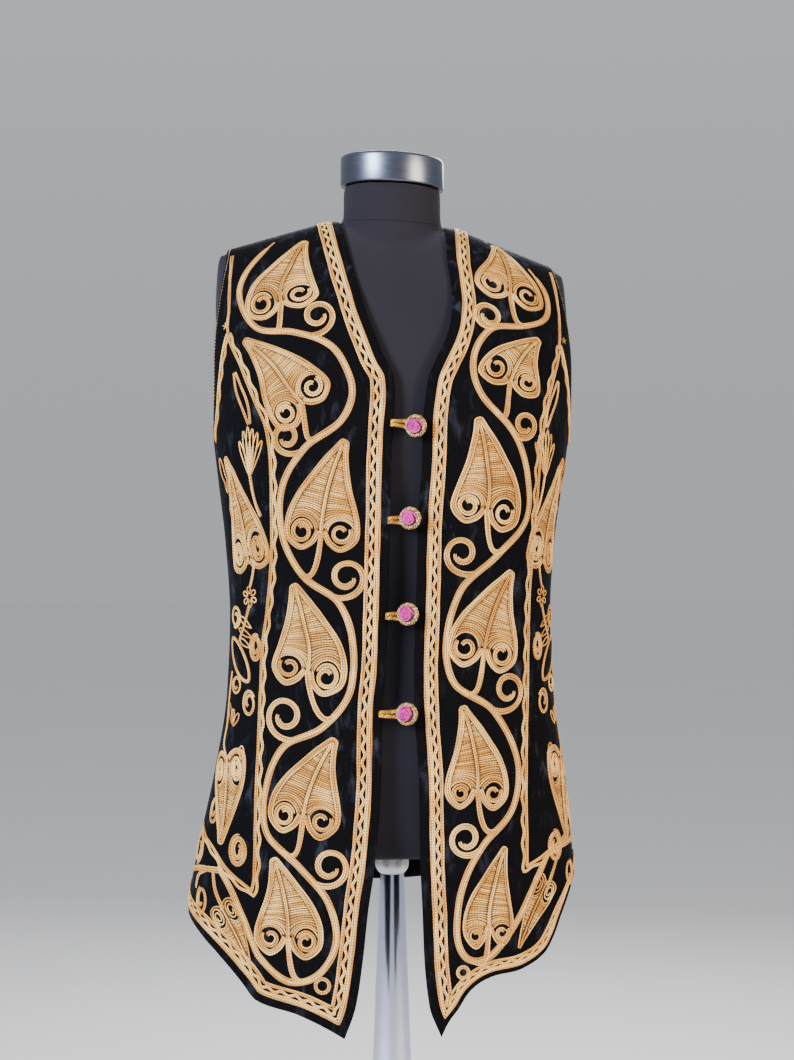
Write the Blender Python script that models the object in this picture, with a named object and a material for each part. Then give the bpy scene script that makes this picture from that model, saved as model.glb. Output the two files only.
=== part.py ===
"""Embroidered velvet vest on a limbless dress form.

The tables hold millimetres, which MM turns into metres. Z is up, the front faces -Y and
the origin is the centre of the base plate's underside. The wearer's right is at -X.

The cloth follows one surface. A place on it has two numbers: its reach, the tape distance
from the middle of the front or of the back, and its level, measured up the middle of the
front from the lowest section. Motifs drawn in reach and level keep their real size.
"""
import math

import bpy
import numpy as np
from mathutils import Vector
from mathutils.geometry import delaunay_2d_cdt

MM = 0.001

# Cloth, goldwork and seams
WALL = 2.0
SEAM = 0.25
RIDGE_SEAM = 0.4
GOLD_LOW = 1.0
GOLD_HIGH = 2.5
VINE_WIDTH = 6.0
CURL_WIDTH = 4.5
LINE_WIDTH = 5.0
STEM_WIDTH = 4.5
STEM_REACH = 26.0

# Sections of the vest from the lowest level up to the shoulder ridge
# height, half width on the wearer's right and left, depth in front and behind,
# power of the rounded section, fall of the shoulder for each millimetre outwards
SECTIONS = np.array((
    (600, 222, 200, 128, 136, 2.35, 0.000),
    (660, 220, 199, 127, 134, 2.35, 0.000),
    (760, 214, 196, 125, 129, 2.35, 0.000),
    (830, 201, 188, 123, 122, 2.35, 0.000),
    (900, 186, 180, 120, 114, 2.35, 0.000),
    (980, 174, 170, 118, 102, 2.35, 0.000),
    (1060, 171, 167, 119, 96, 2.35, 0.000),
    (1140, 176, 172, 121, 98, 2.35, 0.000),
    (1200, 183, 180, 122, 106, 2.40, 0.000),
    (1255, 189, 187, 122, 113, 2.40, 0.000),
    (1300, 191, 190, 117, 116, 2.40, 0.030),
    (1350, 192, 191, 107, 114, 2.40, 0.090),
    (1400, 191, 190, 90, 103, 2.40, 0.190),
    (1435, 190, 189, 70, 84, 2.40, 0.270),
    (1458, 189, 188, 47, 58, 2.40, 0.320),
    (1470, 188, 187, 24, 30, 2.40, 0.340),
    (1475, 187, 186, 0, 0, 2.40, 0.344),
), float)
FALL_START = 63.0
FALL_ROUND = 12.0
LEAN = 0.045
LEAN_BOTTOM = 1200.0
LEAN_TOP = 1440.0

# Soft folds: side (-1 front, 1 back), reach, level, half width, half height, depth
FOLDS = (
    (-1, -214, 180, 32, 110, 4.0),
    (-1, -150, 120, 30, 90, -3.0),
    (-1, 190, 230, 36, 110, 2.5),
    (-1, -190, 560, 26, 60, -2.0),
    (-1, 186, 560, 26, 60, -2.0),
    (1, -150, 200, 40, 150, 6.0),
    (1, -40, 180, 38, 160, 5.0),
    (1, 66, 190, 40, 170, 6.5),
    (1, 165, 210, 36, 140, 5.0),
    (1, 10, 470, 50, 60, 3.0),
)

# Front edge and neckline: level, reach on the right and on the left front
FRONT_EDGE = (
    (43, 58, 39), (74, 47, 27), (118, 40, 22), (172, 34, 20), (220, 27, 18), (300, 21, 17),
    (366, 20, 13), (412, 16, 12), (474, 14, 14), (564, 12, 16), (620, 11, 20), (660, 9, 21),
    (686, 7, 24), (704, 8, 27), (728, 19, 37), (750, 27, 47), (770, 34, 52), (790, 39, 54),
    (810, 44, 53), (840, 50, 51), (870, 54, 52), (928, 58, 55),
)
# Hem of each front from its corner to the side seam: reach, level
HEM_RIGHT = (
    (58, 43), (72, 51), (90, 60), (108, 67), (150, 78), (166, 95), (184, 113), (202, 128),
    (230, 144), (268, 153), (290, 157),
)
HEM_LEFT = (
    (39, 43), (46, 57), (57, 71), (67, 86), (82, 97), (98, 102), (118, 104), (138, 110),
    (156, 120), (168, 135), (180, 155), (206, 184), (232, 199), (270, 208),
)
# Armhole of front and back: level, reach from the middle of the front and of the back
ARMHOLE = (
    (638, 254, 250), (650, 243, 238), (668, 234, 226), (695, 225, 216), (740, 217, 206),
    (790, 204, 197), (845, 190, 189), (884, 182, 183), (928, 178, 178),
)
BACK_NECK = ((0, 868), (20, 870), (36, 878), (48, 894), (55, 912), (58, 928))
BACK_HEM = ((-300, 157), (-120, 158), (0, 158), (120, 168), (220, 196), (300, 208))
PANEL_STEP = 19.0
FRONT_ACROSS = 21.0
BACK_ACROSS = 30.0
PANEL_UP = 32.0
SHOULDER_STEP = 12.0
FILL_STEP = 24.0
FILL_MARGIN = 8.0
VINE_STEP = 21.0
LINE_STEP = 26.0
STEM_STEP = 15.0
CURL_STEPS = 9
SHOULDER_LEVEL = 850.0
SHOULDER_UP = 13.0
LOWEST_ROW = 60.0
ROW_MARGIN = 4.0
PANEL_MARGIN = 6.0
NECK_STEP = 15.0
BACK_HEM_COUNT = 26
TRACE_STEP = 4.0
HEM_TRACE = 3.0
HEM_START = 160.0
HEM_ROUNDS = 6

# Border bands: middle and width along the front edge, middle and width along the hem
BORDER_RIGHT = (17.0, 16.0, 16.0, 15.0)
BORDER_LEFT = (17.0, 15.0, 10.5, 11.0)
BACK_BORDER = (16.0, 15.0)
BORDER_STEP = 19.0
HEM_STEP = 14.0
BORDER_END = 1.0
BORDER_BEYOND = 8.0
BACK_BORDER_REACH = 290.0
BACK_BORDER_COUNT = 60
NECK_BORDER_COUNT = 21
NECK_BORDER_POWER = 0.8

# Heart leaves: reach and level of the tip, reach and level of the notch, width
HEARTS_RIGHT = (
    (94, 866, 120, 786, 84),
    (162, 746, 100, 678, 74),
    (56, 636, 80, 548, 79),
    (110, 490, 94, 406, 80),
    (66, 336, 98, 264, 76),
    (130, 216, 114, 142, 72),
)
HEARTS_LEFT = (
    (106, 888, 118, 812, 80),
    (150, 758, 113, 702, 72),
    (76, 658, 87, 568, 77),
    (116, 502, 85, 428, 79),
    (62, 368, 78, 288, 67),
    (106, 228, 91, 152, 60),
)
# Half a heart leaf from tip to notch: across as a share of the width, along as a share
# of the length from notch to tip
HALF_LEAF = (
    (0.00, 1.00), (0.09, 0.84), (0.25, 0.58), (0.42, 0.30), (0.50, 0.06), (0.45, -0.13),
    (0.27, -0.23), (0.10, -0.17), (0.00, -0.02),
)
LEAF_STEP = 16.5
EYE_ACROSS = 0.26
EYE_ALONG = -0.03
EYE_SHARE = 0.075
EYE_SIDES = 5
STEM_BEND = 0.55

# Vine: reach, level
VINE_RIGHT = (
    (124, 890), (160, 838), (167, 800), (148, 760), (106, 751), (68, 732), (50, 692), (62, 658),
    (98, 632), (122, 592), (122, 545), (100, 504), (64, 478), (49, 436), (53, 386), (80, 352),
    (120, 332), (139, 292), (138, 246), (104, 214), (75, 180), (66, 140), (84, 107), (114, 99),
    (144, 117), (170, 164), (190, 209),
)
VINE_LEFT = (
    (142, 872), (163, 830), (160, 794), (132, 774), (94, 763), (74, 728), (80, 690), (116, 650),
    (134, 608), (134, 560), (96, 522), (60, 490), (45, 440), (53, 396), (94, 368), (122, 318),
    (116, 268), (82, 232), (60, 192), (58, 146), (72, 123), (96, 128), (122, 160), (142, 194),
    (160, 220),
)
# Spiral curls: reach, level, radius
CURLS_RIGHT = (
    (83, 770, 15), (116, 645, 13), (56, 502, 15), (119, 363, 17), (73, 213, 16),
)
CURLS_LEFT = (
    (92, 780, 13), (130, 660, 12), (61, 526, 14), (113, 384, 15), (65, 241, 14),
)
# Small ring in each lower corner: reach, level, radius
RING_RIGHT = (82, 97, 9.0)
RING_LEFT = (60, 123, 8.0)
RING_EYE = 3.0
RING_SIDES = 8
# Each curl: turns, share of the radius lost on the way in, power of its run-in, path step
CURL = (1.2, 0.62, 5, 3.0)

# Side line with its turn at the hem, and its branch down the armhole: reach, level
LINE_RIGHT = (
    (174, 884), (179, 832), (182, 790), (184, 758), (166, 718), (150, 680), (136, 648),
    (132, 600), (133, 520), (138, 474), (145, 420), (148, 314), (149, 212), (153, 184),
)
TURN_RIGHT = ((153, 184), (184, 204), (206, 225), (240, 244))
BRANCH_RIGHT = ((184, 758), (192, 738), (203, 702), (212, 670), (226, 642))
LINE_LEFT = (
    (173, 884), (179, 832), (181, 790), (178, 752), (160, 690), (150, 634), (146, 560),
    (140, 484), (136, 386), (131, 300), (130, 206),
)
TURN_LEFT = ((130, 206), (146, 212), (168, 222), (206, 240))
BRANCH_LEFT = ((180, 760), (188, 738), (200, 702), (209, 670), (223, 642))

# Side spray, the same on both fronts: reach, level
SPRAY_STEM = ((176, 706), (166, 682), (158, 652), (159, 606), (156, 580), (150, 560))
FLOWER_STEM = ((158, 520), (165, 482), (174, 452), (184, 426))
LOW_STEM = ((184, 408), (192, 378), (197, 350), (190, 316))
HEART_HOOK = ((150, 548), (140, 556), (131, 566))
SIDE_HEARTS = ((196, 624, 162, 522, 66), (194, 228, 189, 312, 54))
TULIP = (158, 642, 11, 5)
FLOWER = (166, 481, 8, 5)
SPRAY_CURLS = ((196, 458, 8), (157, 438, 9), (166, 380, 9), (206, 262, 10), (170, 226, 9))
# Corner of each front by the side seam: heart, its stem, the line to the seam, two curls
CORNER_RIGHT = {
    "heart": (158, 125, 184, 166, 26),
    "stem": ((184, 162), (196, 182), (200, 204)),
    "line": ((190, 206), (230, 204), (262, 201)),
    "curls": ((238, 225, 12), (222, 182, 9)),
}
CORNER_LEFT = {
    "heart": (127, 138, 158, 190, 26),
    "stem": ((158, 186), (168, 204), (178, 224)),
    "line": ((170, 223), (210, 228), (244, 230)),
    "curls": ((222, 248, 10),),
}

# Pocket welt: middle reach and level, length, width, slope in degrees
WELT = (185, 417, 50, 8, 38)
WELT_HIGH = 2.8
POCKET_RING_GAP = 1.2
POCKET_RING_WIDTH = 3.5

# Buttons: level of each one
BUTTON_LEVELS = (657, 556, 459, 366)
BUTTON_INSET = 4.0
BUTTON_TILT = 20.0
LOOP_CORD = 1.1
LOOP_RADIUS = 4.3
LOOP_HEIGHT = 2.5
LOOP_OVERLAP = 7.0
LOOP_REST = 0.4
LOOP_SPREAD = 2.5
LOOP_CLOSING = 0.1
LOOP_BEND_COUNT = 7
LOOP_SIDES = 6
# Turned profiles along the button's axis: distance from the cloth, radius
CUP_PROFILE = ((1.3, 2.2), (5.3, 2.2), (6.6, 5.2), (8.4, 7.2), (10.2, 7.4), (12.4, 5.6))
ROSE_PROFILE = ((12.8, 5.4), (14.0, 8.1), (15.8, 7.8), (17.6, 5.2), (18.4, 2.4))

# Dress form: height, half width, depth in front and behind, power, fall
FORM = (
    (815, 146, 92, 93, 2.20, 0.000),
    (822, 152, 97, 98, 2.20, 0.000),
    (870, 158, 102, 102, 2.20, 0.000),
    (930, 156, 102, 98, 2.25, 0.000),
    (1000, 143, 99, 88, 2.30, 0.000),
    (1060, 139, 99, 83, 2.30, 0.000),
    (1140, 149, 104, 87, 2.30, 0.000),
    (1200, 160, 108, 96, 2.35, 0.000),
    (1255, 170, 110, 104, 2.35, 0.000),
    (1300, 178, 107, 108, 2.35, 0.030),
    (1350, 183, 98, 107, 2.35, 0.090),
)
SEAT_DROP = 2.7
SEAT_ROWS = (12, 13, 14, 15)
FORM_NARROWER = 3.5
FORM_RIDGE = 1.2
FORM_SIDES = 32
# Turned profiles: height, radius
NECK = ((1400, 58), (1438, 56), (1456, 53.5), (1470, 51.8), (1490, 51.4), (1511, 51.4))
CAP = ((1511.3, 53.6), (1512.6, 54.6), (1540.6, 54.6), (1542.2, 53.2))
COLLAR = ((786.9, 12.8), (789.5, 15.2), (793, 17.2), (798, 17.9), (814.7, 17.9))
POLE_TOP = 786.6
POLE_TOP_RADIUS = 12.75
POLE_SPREAD = 0.0396
POLE_SIDES = 24
BUTTON_SIDES = 8
PLATE_RADIUS = 170.0
PLATE_HEIGHT = 10.0
PLATE_EDGE = 2.0
RIM_EDGE = 1.0
JOIN = 0.3

# How curves and surfaces are worked out
FACE_STEP = 4.0
FACE_REACH = 320.0
SECTION_COUNT = 721
RIDGE_BLEND = 24.0
RIDGE_FULL = 4.0
CURVE_SAMPLES = 12
MITRE_LEAST = 0.45
MERGE_DISTANCE = 0.02
SMOOTH_ANGLE = 40.0
FORM_SMOOTH_ANGLE = 60.0


def ease(x):
    x = np.clip(x, 0.0, 1.0)
    return x * x * (3.0 - 2.0 * x)


def monotone(xs, ys, x):
    """A smooth curve through the points that never overshoots them."""
    xs = np.asarray(xs, float)
    ys = np.asarray(ys, float)
    gap = np.diff(xs)
    rise = np.diff(ys) / gap
    slope = np.zeros(len(xs))
    slope[0], slope[-1] = rise[0], rise[-1]
    for i in range(1, len(xs) - 1):
        if rise[i - 1] * rise[i] > 0:
            before = 2 * gap[i] + gap[i - 1]
            after = gap[i] + 2 * gap[i - 1]
            slope[i] = (before + after) / (before / rise[i - 1] + after / rise[i])
    k = np.clip(np.searchsorted(xs, x, side="right") - 1, 0, len(gap) - 1)
    u = (x - xs[k]) / gap[k]
    return ((2 * u**3 - 3 * u**2 + 1) * ys[k] + (u**3 - 2 * u**2 + u) * gap[k] * slope[k]
            + (3 * u**2 - 2 * u**3) * ys[k + 1] + (u**3 - u**2) * gap[k] * slope[k + 1])


def column(table, index):
    return [row[index] for row in table]


def settle(x, z, fall):
    """Height after the shoulders' fall and the small lean of the whole upper body."""
    lean = LEAN * ease((z - LEAN_BOTTOM) / (LEAN_TOP - LEAN_BOTTOM))
    outward = np.abs(x) - FALL_START
    outward = 0.5 * (outward + np.sqrt(outward**2 + FALL_ROUND**2))
    return z - fall * outward - lean * x


def power_of(value, share):
    return np.sign(value) * np.abs(value) ** share


class Face:
    """The front or the back of the vest: points by reach and level."""

    def __init__(self, facing):
        self.facing = facing
        heights, fronts = SECTIONS[:, 0], SECTIONS[:, 3]
        climbs = np.hypot(np.diff(heights), np.diff(fronts))
        self.marks = np.concatenate([[0.0], np.cumsum(climbs)])
        self.top = self.marks[-1]
        self.levels = np.linspace(0.0, self.top, int(self.top / FACE_STEP) + 1)
        self.reaches = np.arange(-FACE_REACH, FACE_REACH + FACE_STEP, FACE_STEP)
        grid = np.zeros((len(self.levels), len(self.reaches), 3))
        sides = np.zeros((len(self.levels), 2))
        for i, level in enumerate(self.levels):
            ring, length = self.section(level)
            for axis in range(3):
                grid[i, :, axis] = np.interp(self.reaches, length, ring[:, axis])
            sides[i] = -length[ring[:, 0].argmin()], length[ring[:, 0].argmax()]
        self.sides = sides
        self.grid = grid
        self.grid = grid + self.fold_heights()[..., None] * self.normals()
        self.outward = self.normals()

    def section(self, level):
        """The ring at a level and the tape distance of its points from the middle."""
        values = [float(monotone(self.marks, sizes, level)) for sizes in SECTIONS.T]
        z, right, left, front, back, power, fall = values
        near, far = (front, back) if self.facing < 0 else (back, front)
        angle = np.linspace(-math.pi, math.pi, SECTION_COUNT)
        x = np.where(angle < 0, right, left) * power_of(np.sin(angle), 2 / power)
        depth = np.where(np.cos(angle) > 0, near, far)
        y = self.facing * depth * power_of(np.cos(angle), 2 / power)
        ring = np.stack([x, y, settle(x, z, fall)], axis=1)
        steps = np.linalg.norm(np.diff(ring, axis=0), axis=1)
        length = np.concatenate([[0.0], np.cumsum(steps)])
        return ring, length - length[len(angle) // 2]

    def fold_heights(self):
        height = np.zeros(self.grid.shape[:2])
        for facing, reach, level, wide, high, depth in FOLDS:
            if facing == self.facing:
                across = np.exp(-((self.reaches - reach) / wide) ** 2)
                up = np.exp(-((self.levels - level) / high) ** 2)
                height += depth * up[:, None] * across[None, :]
        return height

    def normals(self):
        up, across = np.gradient(self.grid, axis=(0, 1))
        normal = -self.facing * np.cross(across, up)
        normal /= np.linalg.norm(normal, axis=2, keepdims=True) + 1e-12
        ridge = np.zeros_like(normal)
        x = self.grid[..., 0]
        outward = (np.abs(x) - FALL_START) / FALL_ROUND
        slope = 0.5 * SECTIONS[-1, 6] * (1 + outward / np.sqrt(outward**2 + 1))
        ridge[..., 0] = slope * np.sign(x) + LEAN
        ridge[..., 2] = 1.0
        blend = (self.levels - self.top + RIDGE_BLEND) / (RIDGE_BLEND - RIDGE_FULL)
        blend = ease(blend)[:, None, None]
        mixed = (1 - blend) * normal + blend * ridge
        return mixed / np.linalg.norm(mixed, axis=2, keepdims=True)

    def lift(self, places, height):
        """Points in millimetres over the given places, moved out by the height."""
        places = np.asarray(places, float)
        i = np.interp(places[..., 1], self.levels, np.arange(len(self.levels)))
        j = np.interp(places[..., 0], self.reaches, np.arange(len(self.reaches)))
        i0 = np.minimum(i.astype(int), len(self.levels) - 2)
        j0 = np.minimum(j.astype(int), len(self.reaches) - 2)
        a, b = (i - i0)[..., None], (j - j0)[..., None]
        total = 0.0
        for grid, share in ((self.grid, 1.0), (self.outward, height)):
            low = (1 - b) * grid[i0, j0] + b * grid[i0, j0 + 1]
            high = (1 - b) * grid[i0 + 1, j0] + b * grid[i0 + 1, j0 + 1]
            total = total + share * ((1 - a) * low + a * high)
        return total

    def side_reach(self, level, sign):
        return float(np.interp(level, self.levels, self.sides[:, 0 if sign < 0 else 1]))


def resample(points, step):
    """The same polyline with even steps; its first and last points stay."""
    points = np.asarray(points, float)
    steps = np.linalg.norm(np.diff(points, axis=0), axis=1)
    length = np.concatenate([[0.0], np.cumsum(steps)])
    count = max(2, int(round(length[-1] / step)) + 1)
    at = np.linspace(0.0, length[-1], count)
    return np.stack([np.interp(at, length, points[:, k]) for k in range(2)], axis=1)


def smooth(points, step):
    """A Catmull-Rom curve through the points, sampled with even steps."""
    points = np.asarray(points, float)
    ends = np.vstack([2 * points[0] - points[1], points, 2 * points[-1] - points[-2]])
    curve = []
    for a, b, c, d in zip(ends[:-3], ends[1:-2], ends[2:-1], ends[3:]):
        for u in np.linspace(0.0, 1.0, CURVE_SAMPLES, endpoint=False):
            curve.append(0.5 * (2 * b + (c - a) * u + (2 * a - 5 * b + 4 * c - d) * u**2
                                + (3 * b - a - 3 * c + d) * u**3))
    curve.append(points[-1])
    return resample(curve, step)


def ribbon(path, width):
    """Outline of a flat band along a path, with mitred corners."""
    path = np.asarray(path, float)
    ways = np.diff(path, axis=0)
    ways /= np.linalg.norm(ways, axis=1, keepdims=True)
    before = np.vstack([ways[:1], ways])
    after = np.vstack([ways, ways[-1:]])
    middle = before + after
    middle /= np.linalg.norm(middle, axis=1, keepdims=True)
    stretch = 1.0 / np.maximum(MITRE_LEAST, np.sum(middle * after, axis=1, keepdims=True))
    half = np.broadcast_to(np.asarray(width, float) / 2, len(path))[:, None]
    aside = np.stack([-middle[:, 1], middle[:, 0]], axis=1) * stretch * half
    return np.vstack([path + aside, (path - aside)[::-1]])


def disc(reach, level, radius, sides):
    turn = np.arange(sides) * 2 * math.pi / sides
    return np.stack([reach + radius * np.cos(turn), level + radius * np.sin(turn)], axis=1)


def heart(row):
    """Outline and eyes of a heart leaf."""
    tip, notch, width = np.array(row[:2], float), np.array(row[2:4], float), row[4]
    along = tip - notch
    aside = np.array([along[1], -along[0]]) / np.linalg.norm(along) * width
    half = [notch + a * aside + b * along for a, b in HALF_LEAF]
    other = [notch - a * aside + b * along for a, b in HALF_LEAF]
    outline = np.vstack([smooth(half, LEAF_STEP)[:-1], smooth(other, LEAF_STEP)[:0:-1]])
    eyes = []
    for side in (-1, 1):
        place = notch + side * EYE_ACROSS * aside + EYE_ALONG * along
        eyes.append(disc(*place, EYE_SHARE * width, EYE_SIDES))
    return outline, eyes


def curl(row, path):
    """A spiral that leaves the nearest point of the path and winds in to its eye."""
    turns, lost, power, path_step = CURL
    middle, radius = np.array(row[:2], float), row[2] - CURL_WIDTH / 2
    path = resample(path, path_step)
    away = path - middle
    nearest = np.argmin(np.linalg.norm(away, axis=1))
    start = math.atan2(away[nearest][1], away[nearest][0])
    distance = float(np.linalg.norm(away[nearest]))
    hand = 1 if row[0] % 2 else -1
    points = []
    for k in range(CURL_STEPS):
        share = k / (CURL_STEPS - 1)
        reach = radius * (1 - lost * share) + (distance - radius) * (1 - share) ** power
        turn = start + hand * share * turns * 2 * math.pi
        points.append(middle + reach * np.array([math.cos(turn), math.sin(turn)]))
    return ribbon(points, CURL_WIDTH)


def winding(points, loop):
    """How often the loop goes round each point."""
    a = loop[None, :, :] - points[:, None, :]
    b = np.roll(loop, -1, axis=0)[None, :, :] - points[:, None, :]
    cross = a[..., 0] * b[..., 1] - a[..., 1] * b[..., 0]
    up = (a[..., 1] <= 0) & (b[..., 1] > 0) & (cross > 0)
    down = (a[..., 1] > 0) & (b[..., 1] <= 0) & (cross < 0)
    return up.sum(axis=1) - down.sum(axis=1)


def covered(points, loops, holes):
    inside = np.zeros(len(points), bool)
    for loop in loops:
        inside |= winding(points, loop) != 0
    for hole in holes:
        inside &= winding(points, hole) == 0
    return inside


def room_to(points, loops):
    """Distance from each point to the nearest corner or side of the loops."""
    nearest = np.full(len(points), 1e9)
    for loop in loops:
        start, way = loop, np.roll(loop, -1, axis=0) - loop
        span = np.maximum((way ** 2).sum(axis=1), 1e-9)
        offset = points[:, None, :] - start[None, :, :]
        share = np.clip((offset * way).sum(axis=2) / span, 0.0, 1.0)
        gap = np.linalg.norm(offset - share[..., None] * way, axis=2).min(axis=1)
        nearest = np.minimum(nearest, gap)
    return nearest


def fill_points(loops, holes, across, rows, margin):
    """Points inside the loops, on the given rows, for triangles that follow the curve."""
    low = np.min([loop.min(axis=0) for loop in loops], axis=0)
    high = np.max([loop.max(axis=0) for loop in loops], axis=0)
    columns = np.arange(math.ceil(low[0] / across), high[0] / across) * across
    grid = np.array([(x, y) for y in rows for x in columns if low[1] < y < high[1]])
    if not len(grid):
        return grid.reshape(0, 2)
    grid = grid[covered(grid, loops, holes)]
    return grid[room_to(grid, list(loops) + list(holes)) > margin]


def make_object(name, verts, faces, material, smooth_angle=SMOOTH_ANGLE):
    mesh = bpy.data.meshes.new(name)
    mesh.from_pydata([tuple(v) for v in np.asarray(verts) * MM], [], faces)
    mesh.materials.append(material)
    mesh.validate()
    mesh.shade_smooth()
    mesh.set_sharp_from_angle(angle=math.radians(smooth_angle))
    item = bpy.data.objects.new(name, mesh)
    bpy.context.scene.collection.objects.link(item)
    return item


def plate(name, face, loops, material, low, high, holes=(), extra=None):
    """A closed solid between two heights over a face, inside the loops less the holes."""
    places, edges = [], []
    for loop in (*loops, *holes):
        first = len(places)
        places.extend(Vector(p) for p in loop)
        edges.extend((first + k, first + (k + 1) % len(loop)) for k in range(len(loop)))
    if extra is not None:
        places.extend(Vector(p) for p in extra)
    result = delaunay_2d_cdt(places, edges, [], 0, MERGE_DISTANCE)
    flat = np.array([tuple(v) for v in result[0]])
    corners = np.array(result[2])
    keep = covered(flat[corners].mean(axis=1), loops, holes)
    corners = corners[keep]
    used = np.unique(corners)
    flat = flat[used]
    corners = np.searchsorted(used, corners)
    a, b, c = (flat[corners[:, k]] for k in range(3))
    area = np.cross(b - a, c - a)
    turned = area * -face.facing < 0
    corners[turned] = corners[turned][:, ::-1]
    count = len(flat)
    sides = {(tri[k], tri[(k + 1) % 3]) for tri in corners for k in range(3)}
    faces = [tuple(int(v) for v in tri) for tri in corners]
    faces += [tuple(int(v) + count for v in tri[::-1]) for tri in corners]
    for a, b in sorted(sides):
        if (b, a) not in sides:
            faces.append((int(b), int(a), int(a) + count))
            faces.append((int(b), int(a) + count, int(b) + count))
    verts = np.vstack([face.lift(flat, high), face.lift(flat, low)])
    return make_object(name, verts, faces, material)


def edge_line(levels, side):
    """Places on the front edge at the levels."""
    reach = monotone(column(FRONT_EDGE, 0), column(FRONT_EDGE, 1 if side < 0 else 2), levels)
    return np.stack([reach, levels], axis=1)


def hem_level(table, reach):
    return monotone(column(table, 0), column(table, 1), reach)


def armhole_line(face, side):
    """Places on the armhole from the shoulder down to the side seam."""
    lowest = ARMHOLE[0][0]
    levels = np.append(np.arange(face.top - RIDGE_SEAM, lowest, -TRACE_STEP), lowest)
    reach = monotone(column(ARMHOLE, 0), column(ARMHOLE, 1 if face.facing < 0 else 2), levels)
    reach[-1] = face.side_reach(lowest, side) - SEAM
    return np.stack([reach, levels], axis=1)


def seam_line(face, side, lowest):
    """Places on the side seam below the armhole, down to a level."""
    levels = np.arange(ARMHOLE[0][0], lowest, -PANEL_UP)[1:]
    return [(face.side_reach(level, side) - SEAM, level) for level in levels]


def hem_curve(side, limit):
    """Places on a front's hem from its corner to the given reach."""
    table = HEM_RIGHT if side < 0 else HEM_LEFT
    reaches = np.append(np.arange(table[0][0], limit, HEM_TRACE), limit)
    return np.stack([reaches, hem_level(table, reaches)], axis=1)


def side_end(face, side, table, sign=1):
    """Reach and level where a hem meets the side seam."""
    level = HEM_START
    for _ in range(HEM_ROUNDS):
        reach = face.side_reach(level, side) - SEAM
        level = float(hem_level(table, sign * reach))
    return reach, level


def front_outline(front, side):
    """Outline of a front in reach and level, from its corner up the front edge and round."""
    table = HEM_RIGHT if side < 0 else HEM_LEFT
    top = front.top - RIDGE_SEAM
    edge = edge_line(np.append(np.arange(FRONT_EDGE[0][0], top, TRACE_STEP), top), side)
    arm = armhole_line(front, side)
    shoulder = resample([edge[-1], arm[0]], SHOULDER_STEP)[1:-1]
    seam_reach, seam_level = side_end(front, side, table)
    seam = seam_line(front, side, seam_level)
    hem = resample(hem_curve(side, seam_reach), PANEL_STEP)[::-1]
    outline = [resample(edge, PANEL_STEP), shoulder, resample(arm, PANEL_STEP), seam, hem[:-1]]
    return np.vstack(outline) * (side, 1)


def back_outline(back):
    top = back.top - RIDGE_SEAM
    wide = BACK_NECK[-1][0]
    reaches = np.arange(-wide, wide + MM, TRACE_STEP)
    neck = np.stack([reaches, hem_level(BACK_NECK, np.abs(reaches))], axis=1)
    neck[0][1] = neck[-1][1] = top
    halves = []
    for side in (-1, 1):
        arm = armhole_line(back, side)
        shoulder = resample([(wide, top), arm[0]], SHOULDER_STEP)[1:-1]
        end = side_end(back, side, BACK_HEM, side)
        seam = seam_line(back, side, end[1])
        halves.append(np.vstack([shoulder, resample(arm, PANEL_STEP), seam, [end]]) * (side, 1))
    reaches = np.linspace(halves[0][-1][0], halves[1][-1][0], BACK_HEM_COUNT)[1:-1]
    hem = np.stack([reaches, hem_level(BACK_HEM, reaches)], axis=1)
    return np.vstack([resample(neck, NECK_STEP), halves[1], hem[::-1], halves[0][::-1]])


def panel_rows(top):
    rows = list(np.arange(LOWEST_ROW, SHOULDER_LEVEL, PANEL_UP))
    return rows + list(np.arange(SHOULDER_LEVEL, top - ROW_MARGIN, SHOULDER_UP))


def panel(name, face, outline, across, material):
    points = fill_points([outline], [], across, panel_rows(face.top), PANEL_MARGIN)
    return plate(name, face, [outline], material, -WALL, 0.0, extra=points)


def offset(path, distance, side):
    """A path moved aside, to its right for side 1 and to its left for side -1."""
    way = np.gradient(path, axis=0)
    way /= np.linalg.norm(way, axis=1, keepdims=True)
    return path + side * distance * np.stack([way[:, 1], -way[:, 0]], axis=1)


def crossing(first, second):
    """Indices and point where two paths meet."""
    for i in range(len(first) - 1):
        for j in range(len(second) - 1):
            a, b = first[i], first[i + 1] - first[i]
            c, d = second[j], second[j + 1] - second[j]
            spread = b[0] * d[1] - b[1] * d[0]
            if abs(spread) < 1e-9:
                continue
            gap = c - a
            u = (gap[0] * d[1] - gap[1] * d[0]) / spread
            v = (gap[0] * b[1] - gap[1] * b[0]) / spread
            if 0 <= u <= 1 and 0 <= v <= 1:
                return i, j, a + u * b
    raise ValueError("the border's two runs don't meet")


def border_band(front, side):
    """The border down the front edge and along the hem, its middle lines inside the edge."""
    edge_middle, edge_width, hem_middle, hem_width = BORDER_RIGHT if side < 0 else BORDER_LEFT
    top = front.top - 2 * RIDGE_SEAM
    edge = edge_line(np.append(np.arange(FRONT_EDGE[0][0], top, TRACE_STEP), top), side)
    down = offset(edge, edge_middle, 1)
    down[-1] = edge[-1] + (edge_middle, 0.0)
    beyond = front.side_reach(HEM_START, side) + BORDER_BEYOND
    along = offset(hem_curve(side, beyond), hem_middle, -1)
    i, j, corner = crossing(down, along)
    upper = resample(np.vstack([[corner], down[i + 1:]]), BORDER_STEP)
    lower = resample(np.vstack([[corner], along[j + 1:]]), HEM_STEP)
    widths = [edge_width] * len(upper) + [hem_width] * (len(lower) - 1)
    band = ribbon(np.vstack([upper[::-1], lower[1:]]), widths)
    seams = [front.side_reach(level, side) - BORDER_END for level in band[:, 1]]
    band[:, 0] = np.minimum(band[:, 0], seams)
    band[:, 1] = np.minimum(band[:, 1], top)
    return band * (side, 1)


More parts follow.
